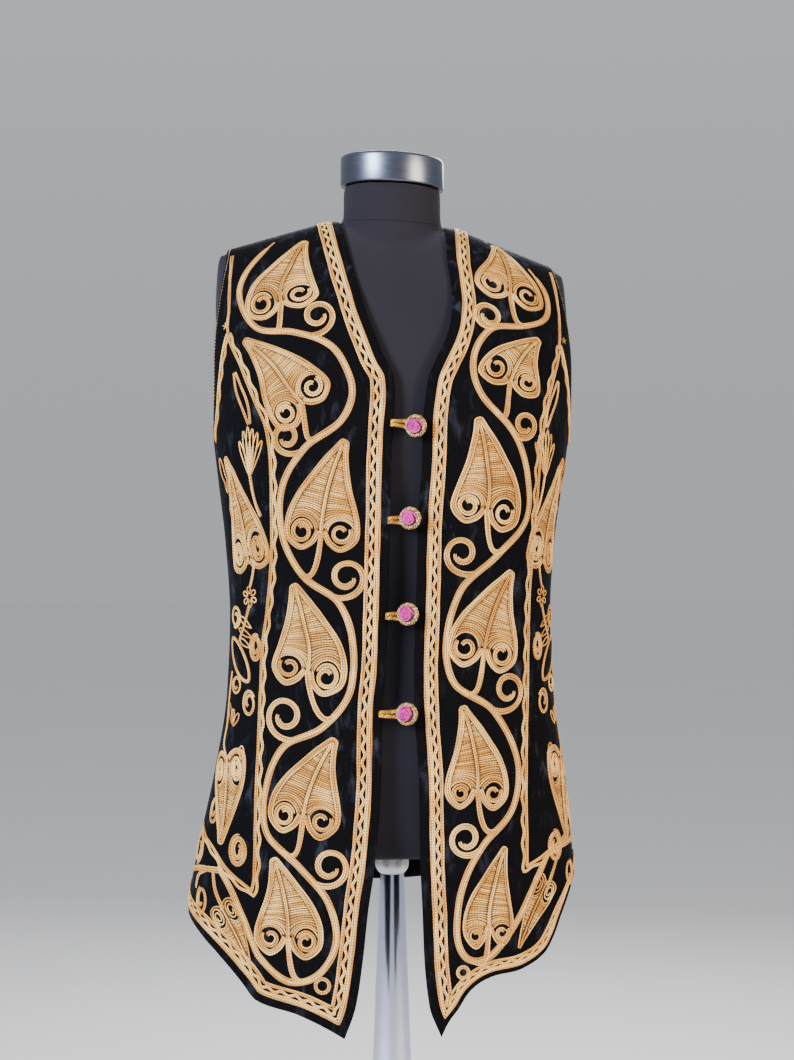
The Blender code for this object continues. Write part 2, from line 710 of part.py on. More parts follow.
def pocket_frame(side, length, width):
    """A slanted, blunt-ended pocket shape."""
    reach, level, _, _, slope = WELT
    turn = math.radians(slope)
    along = np.array([-math.cos(turn), math.sin(turn)])
    aside = np.array([along[1], -along[0]])
    shape = ((-0.5, -0.2), (-0.5, 0.3), (-0.25, 0.5), (0.25, 0.5), (0.5, 0.2), (0.5, -0.3),
             (0.25, -0.5), (-0.25, -0.5))
    points = [np.array([reach, level]) + a * length * along + b * width * aside
              for a, b in shape]
    return np.array(points) * (side, 1)


def front_motifs(side):
    """Vine, hearts, curls and side lines of one front."""
    right = side < 0
    vine = smooth(VINE_RIGHT if right else VINE_LEFT, VINE_STEP)
    line = smooth(LINE_RIGHT if right else LINE_LEFT, LINE_STEP)
    turn = smooth(TURN_RIGHT if right else TURN_LEFT, STEM_STEP)
    branch = smooth(BRANCH_RIGHT if right else BRANCH_LEFT, LINE_STEP)
    loops = [ribbon(vine, VINE_WIDTH), ribbon(np.vstack([line, turn[1:]]), LINE_WIDTH),
             ribbon(branch, LINE_WIDTH)]
    holes = []
    for row in HEARTS_RIGHT if right else HEARTS_LEFT:
        outline, eyes = heart(row)
        loops.append(outline)
        holes += eyes
        notch = np.array(row[2:4], float)
        down = notch - np.array(row[:2], float)
        down *= STEM_REACH / np.linalg.norm(down)
        goal = vine[np.argmin(np.linalg.norm(vine - notch - down, axis=1))]
        loops.append(ribbon(smooth([notch, notch + STEM_BEND * down, goal], STEM_STEP), STEM_WIDTH))
    for row in CURLS_RIGHT if right else CURLS_LEFT:
        loops.append(curl(row, vine))
    reach, level, radius = RING_RIGHT if right else RING_LEFT
    loops.append(disc(reach, level, radius, RING_SIDES))
    holes.append(disc(reach, level, RING_EYE, EYE_SIDES))
    return loops, holes


def side_motifs(side):
    """Side spray and corner of one front."""
    corner = CORNER_RIGHT if side < 0 else CORNER_LEFT
    loops, holes = [], []
    for row in (*SIDE_HEARTS, corner["heart"]):
        outline, eyes = heart(row)
        loops.append(outline)
        holes += eyes
    low_heart = loops[1]
    stems = (SPRAY_STEM, FLOWER_STEM, LOW_STEM, HEART_HOOK, corner["stem"], corner["line"])
    for stem in stems:
        loops.append(ribbon(smooth(stem, STEM_STEP), STEM_WIDTH))
    for reach, level, radius, sides in (TULIP, FLOWER):
        loops.append(disc(reach, level, radius, sides))
    spray_paths = (FLOWER_STEM, FLOWER_STEM, LOW_STEM, low_heart, low_heart)
    for row, path in zip(SPRAY_CURLS, spray_paths):
        loops.append(curl(row, path))
    for row in corner["curls"]:
        loops.append(curl(row, corner["line"]))
    return loops, holes


def goldwork(side):
    """Bands and holes of one front's embroidery, in reach and level."""
    loops, holes = front_motifs(side)
    side_loops, side_holes = side_motifs(side)
    mirror = np.array([side, 1.0])
    loops = [loop * mirror for loop in loops + side_loops]
    holes = [hole * mirror for hole in holes + side_holes]
    gap = 2 * POCKET_RING_GAP
    rim = gap + 2 * POCKET_RING_WIDTH
    loops.append(pocket_frame(side, WELT[2] + rim, WELT[3] + rim))
    holes.append(pocket_frame(side, WELT[2] + gap, WELT[3] + gap))
    return loops, holes


def laid_plate(name, face, loops, holes, material, high=GOLD_HIGH):
    """A plate that lies on the cloth and follows its curve."""
    rows = list(np.arange(60.0, SHOULDER_LEVEL, FILL_STEP))
    rows += list(np.arange(SHOULDER_LEVEL, face.top, FILL_STEP / 3))
    points = fill_points(loops, holes, FILL_STEP, rows, FILL_MARGIN)
    return plate(name, face, loops, material, GOLD_LOW, high, holes=holes, extra=points)


def oval_ring(z, half, front, back, power, fall):
    angle = np.arange(FORM_SIDES) * 2 * math.pi / FORM_SIDES
    x = half * power_of(np.sin(angle), 2 / power)
    depth = np.where(np.cos(angle) > 0, front, back)
    y = -depth * power_of(np.cos(angle), 2 / power)
    return np.stack([x, y, settle(x, z, fall)], axis=1)


def loft(rings):
    """Side faces between rings listed from the bottom up, all with the same count."""
    count = len(rings[0])
    faces = []
    for r in range(len(rings) - 1):
        for k in range(count):
            a, b = r * count + k, r * count + (k + 1) % count
            faces.append((a, b, b + count, a + count))
    return faces


def capped(rings):
    """Faces of a loft with its two ends closed."""
    count = len(rings[0])
    last = (len(rings) - 1) * count
    ends = [tuple(range(count))[::-1], tuple(range(last, last + count))]
    return loft(rings) + ends


def turned(name, profile, material, sides, lean=False):
    """A solid of revolution about Z from rows of height and radius."""
    angle = np.arange(sides) * 2 * math.pi / sides
    rings = []
    for z, radius in profile:
        x, y = radius * np.cos(angle), radius * np.sin(angle)
        height = settle(x, z, 0.0) if lean else np.full(sides, float(z))
        rings.append(np.stack([x, y, height], axis=1))
    return make_object(name, np.vstack(rings), capped(rings), material)


def form_body(material):
    """The body of the form, its shoulders just under the vest's, with the neck joined on."""
    rings = [oval_ring(*row) for row in FORM]
    for index in SEAT_ROWS:
        z, right, left, front, back, power, fall = SECTIONS[index]
        half = min(right, left) - FORM_NARROWER
        rings.append(oval_ring(z - SEAT_DROP, half, front - SEAT_DROP, back - SEAT_DROP,
                               power, fall))
    z, right, left, _, _, power, fall = SECTIONS[-1]
    half = min(right, left) - FORM_NARROWER
    rings.append(oval_ring(z - SEAT_DROP, half, FORM_RIDGE, FORM_RIDGE, power, fall))
    faces = loft(rings)
    faces.append(tuple(range(FORM_SIDES))[::-1])
    last = (len(rings) - 1) * FORM_SIDES
    quarter = FORM_SIDES // 4
    for k in range(-quarter, quarter):
        near, after = k % FORM_SIDES, (k + 1) % FORM_SIDES
        far, behind = (2 * quarter - after) % FORM_SIDES, (2 * quarter - near) % FORM_SIDES
        face = dict.fromkeys(last + v for v in (near, after, far, behind))
        faces.append(tuple(face))
    body = make_object("form_body", np.vstack(rings), faces, material, FORM_SMOOTH_ANGLE)
    neck = turned("form_neck_guide", NECK, material, FORM_SIDES, lean=True)
    neck.hide_render = True
    neck.display_type = "WIRE"
    join = body.modifiers.new("neck", "BOOLEAN")
    join.operation = "UNION"
    join.object = neck
    return body


def button_axes(front, level):
    """Foot, outward way, way to the loop and up way of the button at a level."""
    place = edge_line(np.array([level]), 1)[0] + (BUTTON_INSET, 0.0)
    places = [place, place - (1.0, 0.0), place + (0.0, 1.0)]
    foot, beside, above = front.lift(places, 0.0)
    toward = (beside - foot) / np.linalg.norm(beside - foot)
    up = above - foot
    up -= toward * np.dot(up, toward)
    up /= np.linalg.norm(up)
    out = np.cross(up, toward)
    return foot, out, toward, up


def spun(name, profile, frame, material):
    """A turned piece along the button's tilted axis."""
    foot, out, toward, up = frame
    tilt = math.radians(BUTTON_TILT)
    axis = math.cos(tilt) * out + math.sin(tilt) * toward
    aside = math.sin(tilt) * out - math.cos(tilt) * toward
    angle = np.arange(BUTTON_SIDES) * 2 * math.pi / BUTTON_SIDES
    rings = []
    for distance, radius in profile:
        ring = [foot + distance * axis + radius * (math.cos(t) * aside + math.sin(t) * up)
                for t in angle]
        rings.append(np.array(ring))
    return make_object(name, np.vstack(rings), capped(rings), material)


def loop_route(front, level, frame):
    """Route of a button loop: from the right front's edge round the button's neck and back."""
    foot, out, toward, up = frame
    tilt = math.radians(BUTTON_TILT)
    middle = foot + LOOP_HEIGHT * out + LOOP_HEIGHT * math.tan(tilt) * toward
    edge = edge_line(np.array([level]), -1)[0] * (-1, 1)
    sewn = edge - (LOOP_OVERLAP, 0.0)
    turns = np.linspace(0.5 * math.pi, -0.5 * math.pi, LOOP_BEND_COUNT)
    bend = [middle + LOOP_RADIUS * (math.sin(t) * up - math.cos(t) * toward) for t in turns]
    near, far = LOOP_SPREAD - LOOP_CLOSING, LOOP_SPREAD + LOOP_CLOSING
    high = front.lift([sewn + (0.0, near), edge + (0.0, far)], LOOP_CORD + LOOP_REST)
    low = front.lift([edge - (0.0, far), sewn - (0.0, near)], LOOP_CORD + LOOP_REST)
    return np.vstack([high, bend, low])


def tube(name, route, radius, material):
    """A cord along a flat route."""
    way = np.gradient(route, axis=0)
    way /= np.linalg.norm(way, axis=1, keepdims=True)
    plane = np.cross(route[0] - route[-1], way[0])
    plane /= np.linalg.norm(plane)
    rings = []
    for point, ahead in zip(route, way):
        aside = np.cross(plane, ahead)
        aside /= np.linalg.norm(aside)
        over = np.cross(ahead, aside)
        ring = [point + radius * (math.cos(t) * aside + math.sin(t) * over)
                for t in np.arange(LOOP_SIDES) * 2 * math.pi / LOOP_SIDES]
        rings.append(np.array(ring))
    return make_object(name, np.vstack(rings), capped(rings), material)


def make_buttons(front, materials):
    for number, level in enumerate(BUTTON_LEVELS, start=1):
        frame = button_axes(front, level)
        spun(f"button_cup_{number}", CUP_PROFILE, frame, materials["cream_thread"])
        spun(f"button_rose_{number}", ROSE_PROFILE, frame, materials["magenta_thread"])
        route = loop_route(front, level, frame)
        tube(f"button_loop_{number}", route, LOOP_CORD, materials["gold_cord"])


def make_vest(front, back, materials):
    for side, name in ((-1, "right"), (1, "left")):
        outline = front_outline(front, side)
        panel(f"vest_front_{name}", front, outline, FRONT_ACROSS, materials["velvet"])
        gold = materials["gold_cord"]
        laid_plate(f"border_{name}", front, [border_band(front, side)], [], gold)
        loops, holes = goldwork(side)
        laid_plate(f"goldwork_{name}", front, loops, holes, gold)
        welt = pocket_frame(side, WELT[2], WELT[3])
        laid_plate(f"pocket_welt_{name}", front, [welt], [], materials["velvet"], WELT_HIGH)
    panel("vest_back", back, back_outline(back), BACK_ACROSS, materials["velvet"])
    make_back_borders(back, materials["gold_cord"])


def make_back_borders(back, material):
    middle, width = BACK_BORDER
    reaches = np.linspace(-BACK_BORDER_REACH, BACK_BORDER_REACH, BACK_BORDER_COUNT)
    hem = np.stack([reaches, hem_level(BACK_HEM, reaches)], axis=1)
    hem = offset(hem, middle, -1)
    band = ribbon(resample(hem, BORDER_STEP), width)
    for side in (-1, 1):
        seams = np.array([back.side_reach(level, side) - BORDER_END for level in band[:, 1]])
        band[:, 0] = side * np.minimum(side * band[:, 0], seams)
    laid_plate("border_back_hem", back, [band], [], material)
    top = back.top - 2 * RIDGE_SEAM
    outer = BACK_NECK[-1][0] + middle
    drop = top - BACK_NECK[0][1] + middle
    angle = np.linspace(0.0, math.pi, NECK_BORDER_COUNT)
    across = -outer * power_of(np.cos(angle), NECK_BORDER_POWER)
    neck = np.stack([across, top - drop * np.sin(angle)], axis=1)
    laid_plate("border_back_neck", back, [ribbon(neck, width)], [], material)


def make_stand(materials):
    form_body(materials["jersey"])
    turned("neck_cap", CAP, materials["gunmetal"], FORM_SIDES, lean=True)
    turned("pole_collar", COLLAR, materials["chrome"], POLE_SIDES)
    foot = PLATE_HEIGHT + JOIN
    foot_radius = POLE_TOP_RADIUS + POLE_SPREAD * (POLE_TOP - foot)
    pole = ((foot, foot_radius), (POLE_TOP, POLE_TOP_RADIUS))
    turned("pole", pole, materials["chrome"], POLE_SIDES)
    rim = ((0, PLATE_RADIUS - RIM_EDGE), (RIM_EDGE, PLATE_RADIUS),
           (PLATE_HEIGHT - PLATE_EDGE, PLATE_RADIUS), (PLATE_HEIGHT, PLATE_RADIUS - PLATE_EDGE))
    turned("base_plate", rim, materials["chrome"], FORM_SIDES)


def make_material(name, color, roughness, metallic):
    material = bpy.data.materials.new(name)
    material.use_nodes = True
    shader = material.node_tree.nodes["Principled BSDF"]
    shader.inputs["Base Color"].default_value = (*color, 1.0)
    shader.inputs["Roughness"].default_value = roughness
    shader.inputs["Metallic"].default_value = metallic
    return material


def make_materials():
    table = (
        ("velvet", (0.008, 0.009, 0.016), 0.85, 0.0),
        ("gold_cord", (0.74, 0.46, 0.17), 0.45, 0.3),
        ("cream_thread", (0.72, 0.55, 0.26), 0.7, 0.0),
        ("magenta_thread", (0.72, 0.05, 0.36), 0.7, 0.0),
        ("jersey", (0.02, 0.02, 0.028), 0.9, 0.0),
        ("gunmetal", (0.05, 0.055, 0.065), 0.25, 0.8),
        ("chrome", (0.8, 0.8, 0.82), 0.1, 1.0),
    )
    return {row[0]: make_material(*row) for row in table}


def main():
    for item in list(bpy.data.objects):
        bpy.data.objects.remove(item, do_unlink=True)
    materials = make_materials()
    front = Face(-1)
    back = Face(1)
    make_vest(front, back, materials)
    make_buttons(front, materials)
    make_stand(materials)


main()
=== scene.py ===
import math

import bpy
import numpy as np
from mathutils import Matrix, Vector
from mathutils.geometry import delaunay_2d_cdt


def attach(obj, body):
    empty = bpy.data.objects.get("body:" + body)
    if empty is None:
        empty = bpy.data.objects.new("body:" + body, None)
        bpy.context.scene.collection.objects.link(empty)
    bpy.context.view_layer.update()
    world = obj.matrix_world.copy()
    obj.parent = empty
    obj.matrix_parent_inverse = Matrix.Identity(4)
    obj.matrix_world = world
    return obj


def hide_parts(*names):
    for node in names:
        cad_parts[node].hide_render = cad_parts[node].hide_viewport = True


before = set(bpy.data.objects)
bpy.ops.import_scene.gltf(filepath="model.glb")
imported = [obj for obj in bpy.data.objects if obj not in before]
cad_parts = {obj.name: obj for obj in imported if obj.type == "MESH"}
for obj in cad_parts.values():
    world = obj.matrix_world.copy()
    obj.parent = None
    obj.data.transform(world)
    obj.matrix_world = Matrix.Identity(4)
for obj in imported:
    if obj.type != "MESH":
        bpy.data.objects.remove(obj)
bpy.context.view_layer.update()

# The tables hold millimetres. A place on the cloth has a reach, the tape distance from the
# middle of the front or of the back, and a level up the middle of the front. The wearer's
# right is at -X and has side -1.
MM = 0.001
SEAM = 0.25
RIDGE_SEAM = 0.4
WALL = 2.0

# height, half width right and left, depth in front and behind, power, shoulder fall
SECTIONS = np.array((
    (600, 222, 200, 128, 136, 2.35, 0.000),
    (660, 220, 199, 127, 134, 2.35, 0.000),
    (760, 214, 196, 125, 129, 2.35, 0.000),
    (830, 201, 188, 123, 122, 2.35, 0.000),
    (900, 186, 180, 120, 114, 2.35, 0.000),
    (980, 174, 170, 118, 102, 2.35, 0.000),
    (1060, 171, 167, 119, 96, 2.35, 0.000),
    (1140, 176, 172, 121, 98, 2.35, 0.000),
    (1200, 183, 180, 122, 106, 2.40, 0.000),
    (1255, 189, 187, 122, 113, 2.40, 0.000),
    (1300, 191, 190, 117, 116, 2.40, 0.030),
    (1350, 192, 191, 107, 114, 2.40, 0.090),
    (1400, 191, 190, 90, 103, 2.40, 0.190),
    (1435, 190, 189, 70, 84, 2.40, 0.270),
    (1458, 189, 188, 47, 58, 2.40, 0.320),
    (1470, 188, 187, 24, 30, 2.40, 0.340),
    (1475, 187, 186, 0, 0, 2.40, 0.344),
), float)
FALL_START, FALL_ROUND = 63.0, 12.0
LEAN, LEAN_BOTTOM, LEAN_TOP = 0.045, 1200.0, 1440.0

# Folds: side (-1 front, 1 back), reach, level, half width, half height, depth
FOLDS = (
    (-1, -214, 180, 32, 110, 4.0), (-1, -150, 120, 30, 90, -3.0), (-1, 190, 230, 36, 110, 2.5),
    (-1, -190, 560, 26, 60, -2.0), (-1, 186, 560, 26, 60, -2.0), (1, -150, 200, 40, 150, 6.0),
    (1, -40, 180, 38, 160, 5.0), (1, 66, 190, 40, 170, 6.5), (1, 165, 210, 36, 140, 5.0),
    (1, 10, 470, 50, 60, 3.0),
)
# Small creases: side, reach, level, half width, half length, turn in degrees, depth
CREASES = (
    (-1, -205, 600, 5, 34, 62, -1.2), (-1, -196, 572, 4, 26, 55, 0.9), (-1, 200, 606, 5, 30, -60, -1.1),
    (-1, 190, 580, 4, 24, -48, 0.8), (-1, -226, 320, 6, 46, 14, -1.2), (-1, -150, 262, 5, 36, -8, 0.9),
    (-1, 214, 330, 6, 44, -12, -1.1), (-1, -30, 330, 3, 40, 3, -0.7), (-1, 17, 250, 3, 36, -4, -0.7),
    (-1, -25, 190, 3, 30, -6, 0.7), (-1, -214, 236, 6, 40, 22, 1.1), (-1, -112, 60, 5, 22, 40, -0.8),
    (-1, -14, 520, 3, 44, 2, 0.6), (-1, 20, 470, 3, 38, -3, -0.6), (-1, 26, 90, 4, 34, 5, 0.8),
    (1, -190, 590, 6, 46, -58, -1.6), (1, -168, 560, 5, 38, -50, 1.2), (1, 196, 600, 6, 42, 60, -1.5),
    (1, 172, 566, 5, 36, 52, 1.1), (1, -60, 500, 7, 60, 82, -1.4), (1, 40, 486, 6, 52, 98, -1.2),
    (1, 90, 520, 6, 40, 76, 1.0), (1, -110, 470, 6, 44, 100, 1.1), (1, 10, 445, 5, 50, 90, -1.0),
    (1, -96, 300, 7, 80, 6, 1.4), (1, 18, 300, 7, 76, -5, -1.5), (1, 120, 320, 7, 70, -9, 1.3),
    (1, -196, 330, 6, 60, 10, -1.3), (1, 214, 340, 6, 60, -8, -1.2), (1, 60, 690, 6, 44, 24, 0.9),
    (1, -72, 706, 6, 40, -28, 0.8), (1, -140, 640, 5, 30, -40, -0.9), (1, 138, 650, 5, 34, 38, -0.9),
)

# Front edge: level, reach on the right and on the left front
FRONT_EDGE = (
    (43, 58, 39), (74, 47, 27), (118, 40, 22), (172, 34, 20), (220, 27, 18), (300, 21, 17),
    (366, 20, 13), (412, 16, 12), (474, 14, 14), (564, 12, 16), (620, 11, 20), (660, 9, 21),
    (686, 7, 24), (704, 8, 27), (728, 19, 37), (750, 27, 47), (770, 34, 52), (790, 39, 54),
    (810, 44, 53), (840, 50, 51), (870, 54, 52), (928, 58, 55),
)
# Hems and back neck: reach, level
HEM_RIGHT = (
    (58, 43), (72, 51), (90, 60), (108, 67), (150, 78), (166, 95), (184, 113), (202, 128),
    (230, 144), (268, 153), (290, 157),
)
HEM_LEFT = (
    (39, 43), (46, 57), (57, 71), (67, 86), (82, 97), (98, 102), (118, 104), (138, 110),
    (156, 120), (168, 135), (180, 155), (206, 184), (232, 199), (270, 208),
)
# Armhole: level, reach in front and behind
ARMHOLE = (
    (638, 254, 250), (650, 243, 238), (668, 234, 226), (695, 225, 216), (740, 217, 206),
    (790, 204, 197), (845, 190, 189), (884, 182, 183), (928, 178, 178),
)
BACK_NECK = ((0, 868), (20, 870), (36, 878), (48, 894), (55, 912), (58, 928))
BACK_HEM = ((-300, 157), (-120, 158), (0, 158), (120, 168), (220, 196), (300, 208))

# Borders: distance of the middle from the edge and width, along the front edge and the hem
BORDER_RIGHT = (17.0, 16.0, 16.0, 15.0)
BORDER_LEFT = (17.0, 15.0, 10.5, 11.0)
BACK_BORDER = (16.0, 15.0)

# Hearts: reach and level of the tip and of the notch, width, how far the lobes hang below the
# notch as a share of the length, and how far the lobes are turned, in degrees
HEARTS_RIGHT = (
    (94, 869, 121, 788, 80, 0.17, -18), (164, 748, 101, 677, 74, 0.15, -12),
    (56, 641, 81, 549, 78, 0.21, 0), (111, 497, 95, 409, 80, 0.23, 13),
    (66, 342, 99, 265, 76, 0.26, -2), (131, 222, 115, 143, 73, 0.25, 3),
)
HEARTS_LEFT = (
    (107, 893, 118, 815, 80, 0.20, 0), (150, 761, 113, 705, 74, 0.16, 0),
    (77, 665, 87, 571, 78, 0.20, -8), (118, 509, 85, 430, 80, 0.25, 0),
    (61, 374, 77, 289, 69, 0.24, -4), (107, 231, 88, 152, 55, 0.27, 6),
)
# Half an outline: share of the width aside, share of the length up; below 0 it's the lobe
HALF_LEAF = (
    (0.00, 1.00), (0.055, 0.985), (0.085, 0.93), (0.125, 0.84), (0.26, 0.58), (0.42, 0.30),
    (0.495, 0.08), (0.47, -0.45), (0.27, -1.00), (0.09, -0.66), (0.00, -0.05),
)
# Vine: reach, level
VINE_RIGHT = (
    (124, 890), (160, 838), (167, 800), (148, 760), (106, 751), (68, 732), (50, 692), (62, 658),
    (98, 632), (122, 592), (122, 545), (100, 504), (64, 478), (49, 436), (53, 386), (80, 352),
    (120, 332), (139, 292), (138, 246), (104, 214), (75, 180), (66, 140), (84, 107), (114, 99),
    (144, 120), (155, 139), (165, 162), (178, 187), (194, 208),
)
VINE_LEFT = (
    (142, 872), (163, 830), (160, 794), (132, 774), (94, 763), (74, 728), (80, 690), (116, 650),
    (134, 608), (134, 560), (96, 522), (60, 490), (45, 440), (53, 396), (94, 368), (122, 318),
    (116, 268), (82, 232), (60, 190), (55, 144), (66, 120), (90, 122), (119, 154), (142, 192),
    (160, 220),
)
# Curls and rings: reach, level, radius
CURLS_RIGHT = ((83, 767, 16.5), (117, 642, 15), (55, 502, 18.5), (120, 362, 19.5), (72, 213, 18.5))
CURLS_LEFT = ((91, 777, 16), (130, 657, 15), (60, 526, 17.5), (113, 387, 18), (64, 239, 17))
RING_RIGHT = (80, 96, 9.0)
RING_LEFT = (61, 107, 7.5)
# Side line, its turn at the hem and its branch down the armhole: reach, level
LINE_RIGHT = (
    (174, 884), (179, 832), (182, 790), (184, 758), (166, 718), (150, 680), (136, 648),
    (132, 600), (133, 520), (138, 474), (145, 420), (148, 314), (149, 212), (153, 184),
)
TURN_RIGHT = ((153, 184), (184, 204), (206, 225), (240, 244))
BRANCH_RIGHT = ((184, 758), (192, 738), (203, 702), (212, 670), (226, 642))
LINE_LEFT = (
    (173, 884), (179, 832), (181, 790), (178, 752), (160, 690), (150, 634), (146, 560),
    (140, 484), (136, 386), (131, 300), (130, 206),
)
TURN_LEFT = ((130, 206), (146, 212), (168, 222), (206, 240))
BRANCH_LEFT = ((180, 760), (188, 738), (200, 702), (209, 670), (223, 642))
# Spray down the side: a bud, a hand of loops, stems, hearts and a flower
BUD = ((177, 712), (172, 694), (164, 674), (159, 656))
HAND_FOOT = (160, 604)
HAND_TIPS = ((173, 640), (167, 650), (161, 654), (155, 652), (149, 648), (144, 640))
SPRAY_STEMS = (
    ((160, 606), (157, 590), (153, 576), (147, 564)),
    ((157, 520), (160, 504), (164, 492)),
    ((165, 474), (170, 462), (176, 450), (184, 436)),
    ((200, 404), (206, 374), (205, 350), (208, 330), (199, 318)),
)
SIDE_HEARTS = ((200, 626, 166, 519, 62, 0.10, 0), (194, 229, 195, 316, 60, 0.10, 0))
SIDE_STRETCH = 1.75
FLOWER = (165, 482, 5.4)
# Loops: reach and level of the foot and of the tip, width
SPRAY_LOOPS = (
    (201, 588, 214, 624, 9), (162, 450, 182, 461, 6), (161, 440, 184, 449, 6),
    (163, 430, 182, 438, 6), (192, 350, 203, 371, 6), (190, 348, 180, 362, 6),
    (190, 352, 192, 366, 5), (172, 316, 172, 330, 7),
)
# Oval spirals: reach, level, half width, half height, start angle, turns, cords
SPRAY_OVALS = (
    (193, 460, 12, 12, -60, 1.7, 2), (156, 431, 9, 17, 120, 1.8, 3), (188, 391, 10, 10, 40, 1.5, 2),
    (164, 374, 10, 14, 150, 1.6, 2), (209, 262, 9, 15, 80, 1.7, 2), (171, 226, 11, 18, 100, 2.0, 3),
)
CORNER_RIGHT = {
    "heart": (155, 108, 188, 168, 33, 0.08, 0),
    "stems": (((186, 166), (196, 184), (201, 204)), ((203, 204), (224, 196), (229, 182))),
    "line": ((192, 204), (226, 202), (264, 195)),
    "ovals": ((236, 221, 17, 17, -90, 1.5, 3), (216, 172, 9, 16, 70, 1.6, 2)),
}
CORNER_LEFT = {
    "heart": (121, 126, 156, 190, 33, 0.08, 0),
    "stems": (((158, 186), (168, 204), (178, 224)),),
    "line": ((170, 223), (210, 228), (246, 230)),
    "ovals": ((222, 249, 13, 15, -90, 1.5, 3), (196, 196, 9, 15, 70, 1.6, 2)),
}
# Reach, level and size
KNOT = (187, 768, 5)
# Pocket: reach and level of its middle, length, width, slope in degrees
WELT = (183, 417, 48, 15, 50)

# Tables of each side of the front
TABLES = {
    -1: {"name": "right", "hem": HEM_RIGHT, "border": BORDER_RIGHT, "hearts": HEARTS_RIGHT,
         "vine": VINE_RIGHT, "curls": CURLS_RIGHT, "ring": RING_RIGHT, "line": LINE_RIGHT,
         "turn": TURN_RIGHT, "branch": BRANCH_RIGHT, "corner": CORNER_RIGHT},
    1: {"name": "left", "hem": HEM_LEFT, "border": BORDER_LEFT, "hearts": HEARTS_LEFT,
        "vine": VINE_LEFT, "curls": CURLS_LEFT, "ring": RING_LEFT, "line": LINE_LEFT,
        "turn": TURN_LEFT, "branch": BRANCH_LEFT, "corner": CORNER_LEFT},
}

BUTTON_LEVELS = (657, 560, 464, 366)
# How far each button leans towards the gap and upwards, in degrees
BUTTON_LEANS = ((49, -18), (53, 12), (53, 14), (51, 3))
BUTTON_INSET = -0.4
# Length of a button's shank, and its cup's own lean in degrees
SHANK, CUP_LEAN = 8.4, 27.0
LOOP_CORD, LOOP_RADIUS, LOOP_HEIGHT, LOOP_OVERLAP = 1.5, 4.0, 2.6, 1.0
# Distance along the cup's axis and radius; rings have these too, then the twist and its cord
CUP_PROFILE = ((-0.6, 2.2), (1.2, 6.4), (3.0, 9.4), (4.8, 10.1), (6.8, 8.9), (7.6, 5.0))
CUP_RINGS, CUP_TWIST, CUP_CORD = ((3.2, 9.7), (5.4, 10.0), (7.3, 9.0)), 0.65, 0.8
ROSE_PROFILE = ((6.9, 5.0), (7.8, 7.4), (9.6, 7.3), (11.4, 5.8), (12.8, 2.6))

# Form: height, half width, depth in front and behind, power, shoulder fall
FORM = np.array((
    (815, 146, 92, 93, 2.20, 0.000), (822, 152, 97, 98, 2.20, 0.000),
    (870, 158, 102, 102, 2.20, 0.000), (930, 156, 102, 98, 2.25, 0.000),
    (1000, 143, 99, 88, 2.30, 0.000), (1060, 139, 99, 83, 2.30, 0.000),
    (1140, 149, 104, 87, 2.30, 0.000), (1200, 160, 108, 96, 2.35, 0.000),
    (1255, 170, 110, 104, 2.35, 0.000), (1300, 178, 107, 108, 2.35, 0.030),
    (1350, 183, 98, 107, 2.35, 0.090),
), float)
SEAT_DROP, FORM_NARROWER, FORM_RIDGE = 2.7, 3.5, 1.2
# Turned pieces and the neck's seam: height and radius
NECK = ((1400, 58), (1438, 56), (1456, 53.5), (1470, 51.8), (1490, 51.4), (1511, 51.4))
NECK_SEAM = (1471.0, 51.9)
CAP = ((1511.3, 53.6), (1512.0, 54.3), (1513.2, 54.6), (1538.8, 54.6), (1540.6, 54.3),
       (1541.8, 53.4), (1542.2, 52.0), (1542.2, 50.6), (1541.4, 50.0))
COLLAR = ((786.9, 12.8), (788.2, 14.2), (790.4, 15.9), (793, 17.2), (795.6, 17.8),
          (798, 17.9), (813.9, 17.9), (814.6, 17.5))
POLE_TOP, POLE_TOP_RADIUS, POLE_SPREAD = 786.6, 12.75, 0.0396
PLATE_RADIUS, PLATE_HEIGHT, JOIN = 170.0, 10.0, 0.3


def ease(x):
    x = np.clip(x, 0.0, 1.0)
    return x * x * (3.0 - 2.0 * x)


def hermite(u, start, leave, end, arrive):
    """A curve from start to end with its ways of leaving and arriving, at shares u."""
    return ((2 * u**3 - 3 * u**2 + 1) * start + (u**3 - 2 * u**2 + u) * leave
            + (3 * u**2 - 2 * u**3) * end + (u**3 - u**2) * arrive)


def lengths(points):
    """Length of a run of points up to each of them."""
    steps = np.linalg.norm(np.diff(points, axis=0), axis=1)
    return np.concatenate([[0.0], np.cumsum(steps)])


def monotone(xs, ys, x):
    """A smooth curve through the points that never overshoots them."""
    xs, ys = np.asarray(xs, float), np.asarray(ys, float)
    gap = np.diff(xs)
    rise = np.diff(ys) / gap
    slope = np.zeros(len(xs))
    slope[0], slope[-1] = rise[0], rise[-1]
    for i in range(1, len(xs) - 1):
        if rise[i - 1] * rise[i] > 0:
            before = 2 * gap[i] + gap[i - 1]
            after = gap[i] + 2 * gap[i - 1]
            slope[i] = (before + after) / (before / rise[i - 1] + after / rise[i])
    k = np.clip(np.searchsorted(xs, x, side="right") - 1, 0, len(gap) - 1)
    u = (x - xs[k]) / gap[k]
    return hermite(u, ys[k], gap[k] * slope[k], ys[k + 1], gap[k] * slope[k + 1])


def column(table, index):
    return [row[index] for row in table]


def settle(x, z, fall):
    """Height after the shoulders' fall and the small lean of the upper body."""
    lean = LEAN * ease((z - LEAN_BOTTOM) / (LEAN_TOP - LEAN_BOTTOM))
    outward = np.abs(x) - FALL_START
    outward = 0.5 * (outward + np.sqrt(outward**2 + FALL_ROUND**2))
    return z - fall * outward - lean * x


def power_of(value, share):
    return np.sign(value) * np.abs(value) ** share


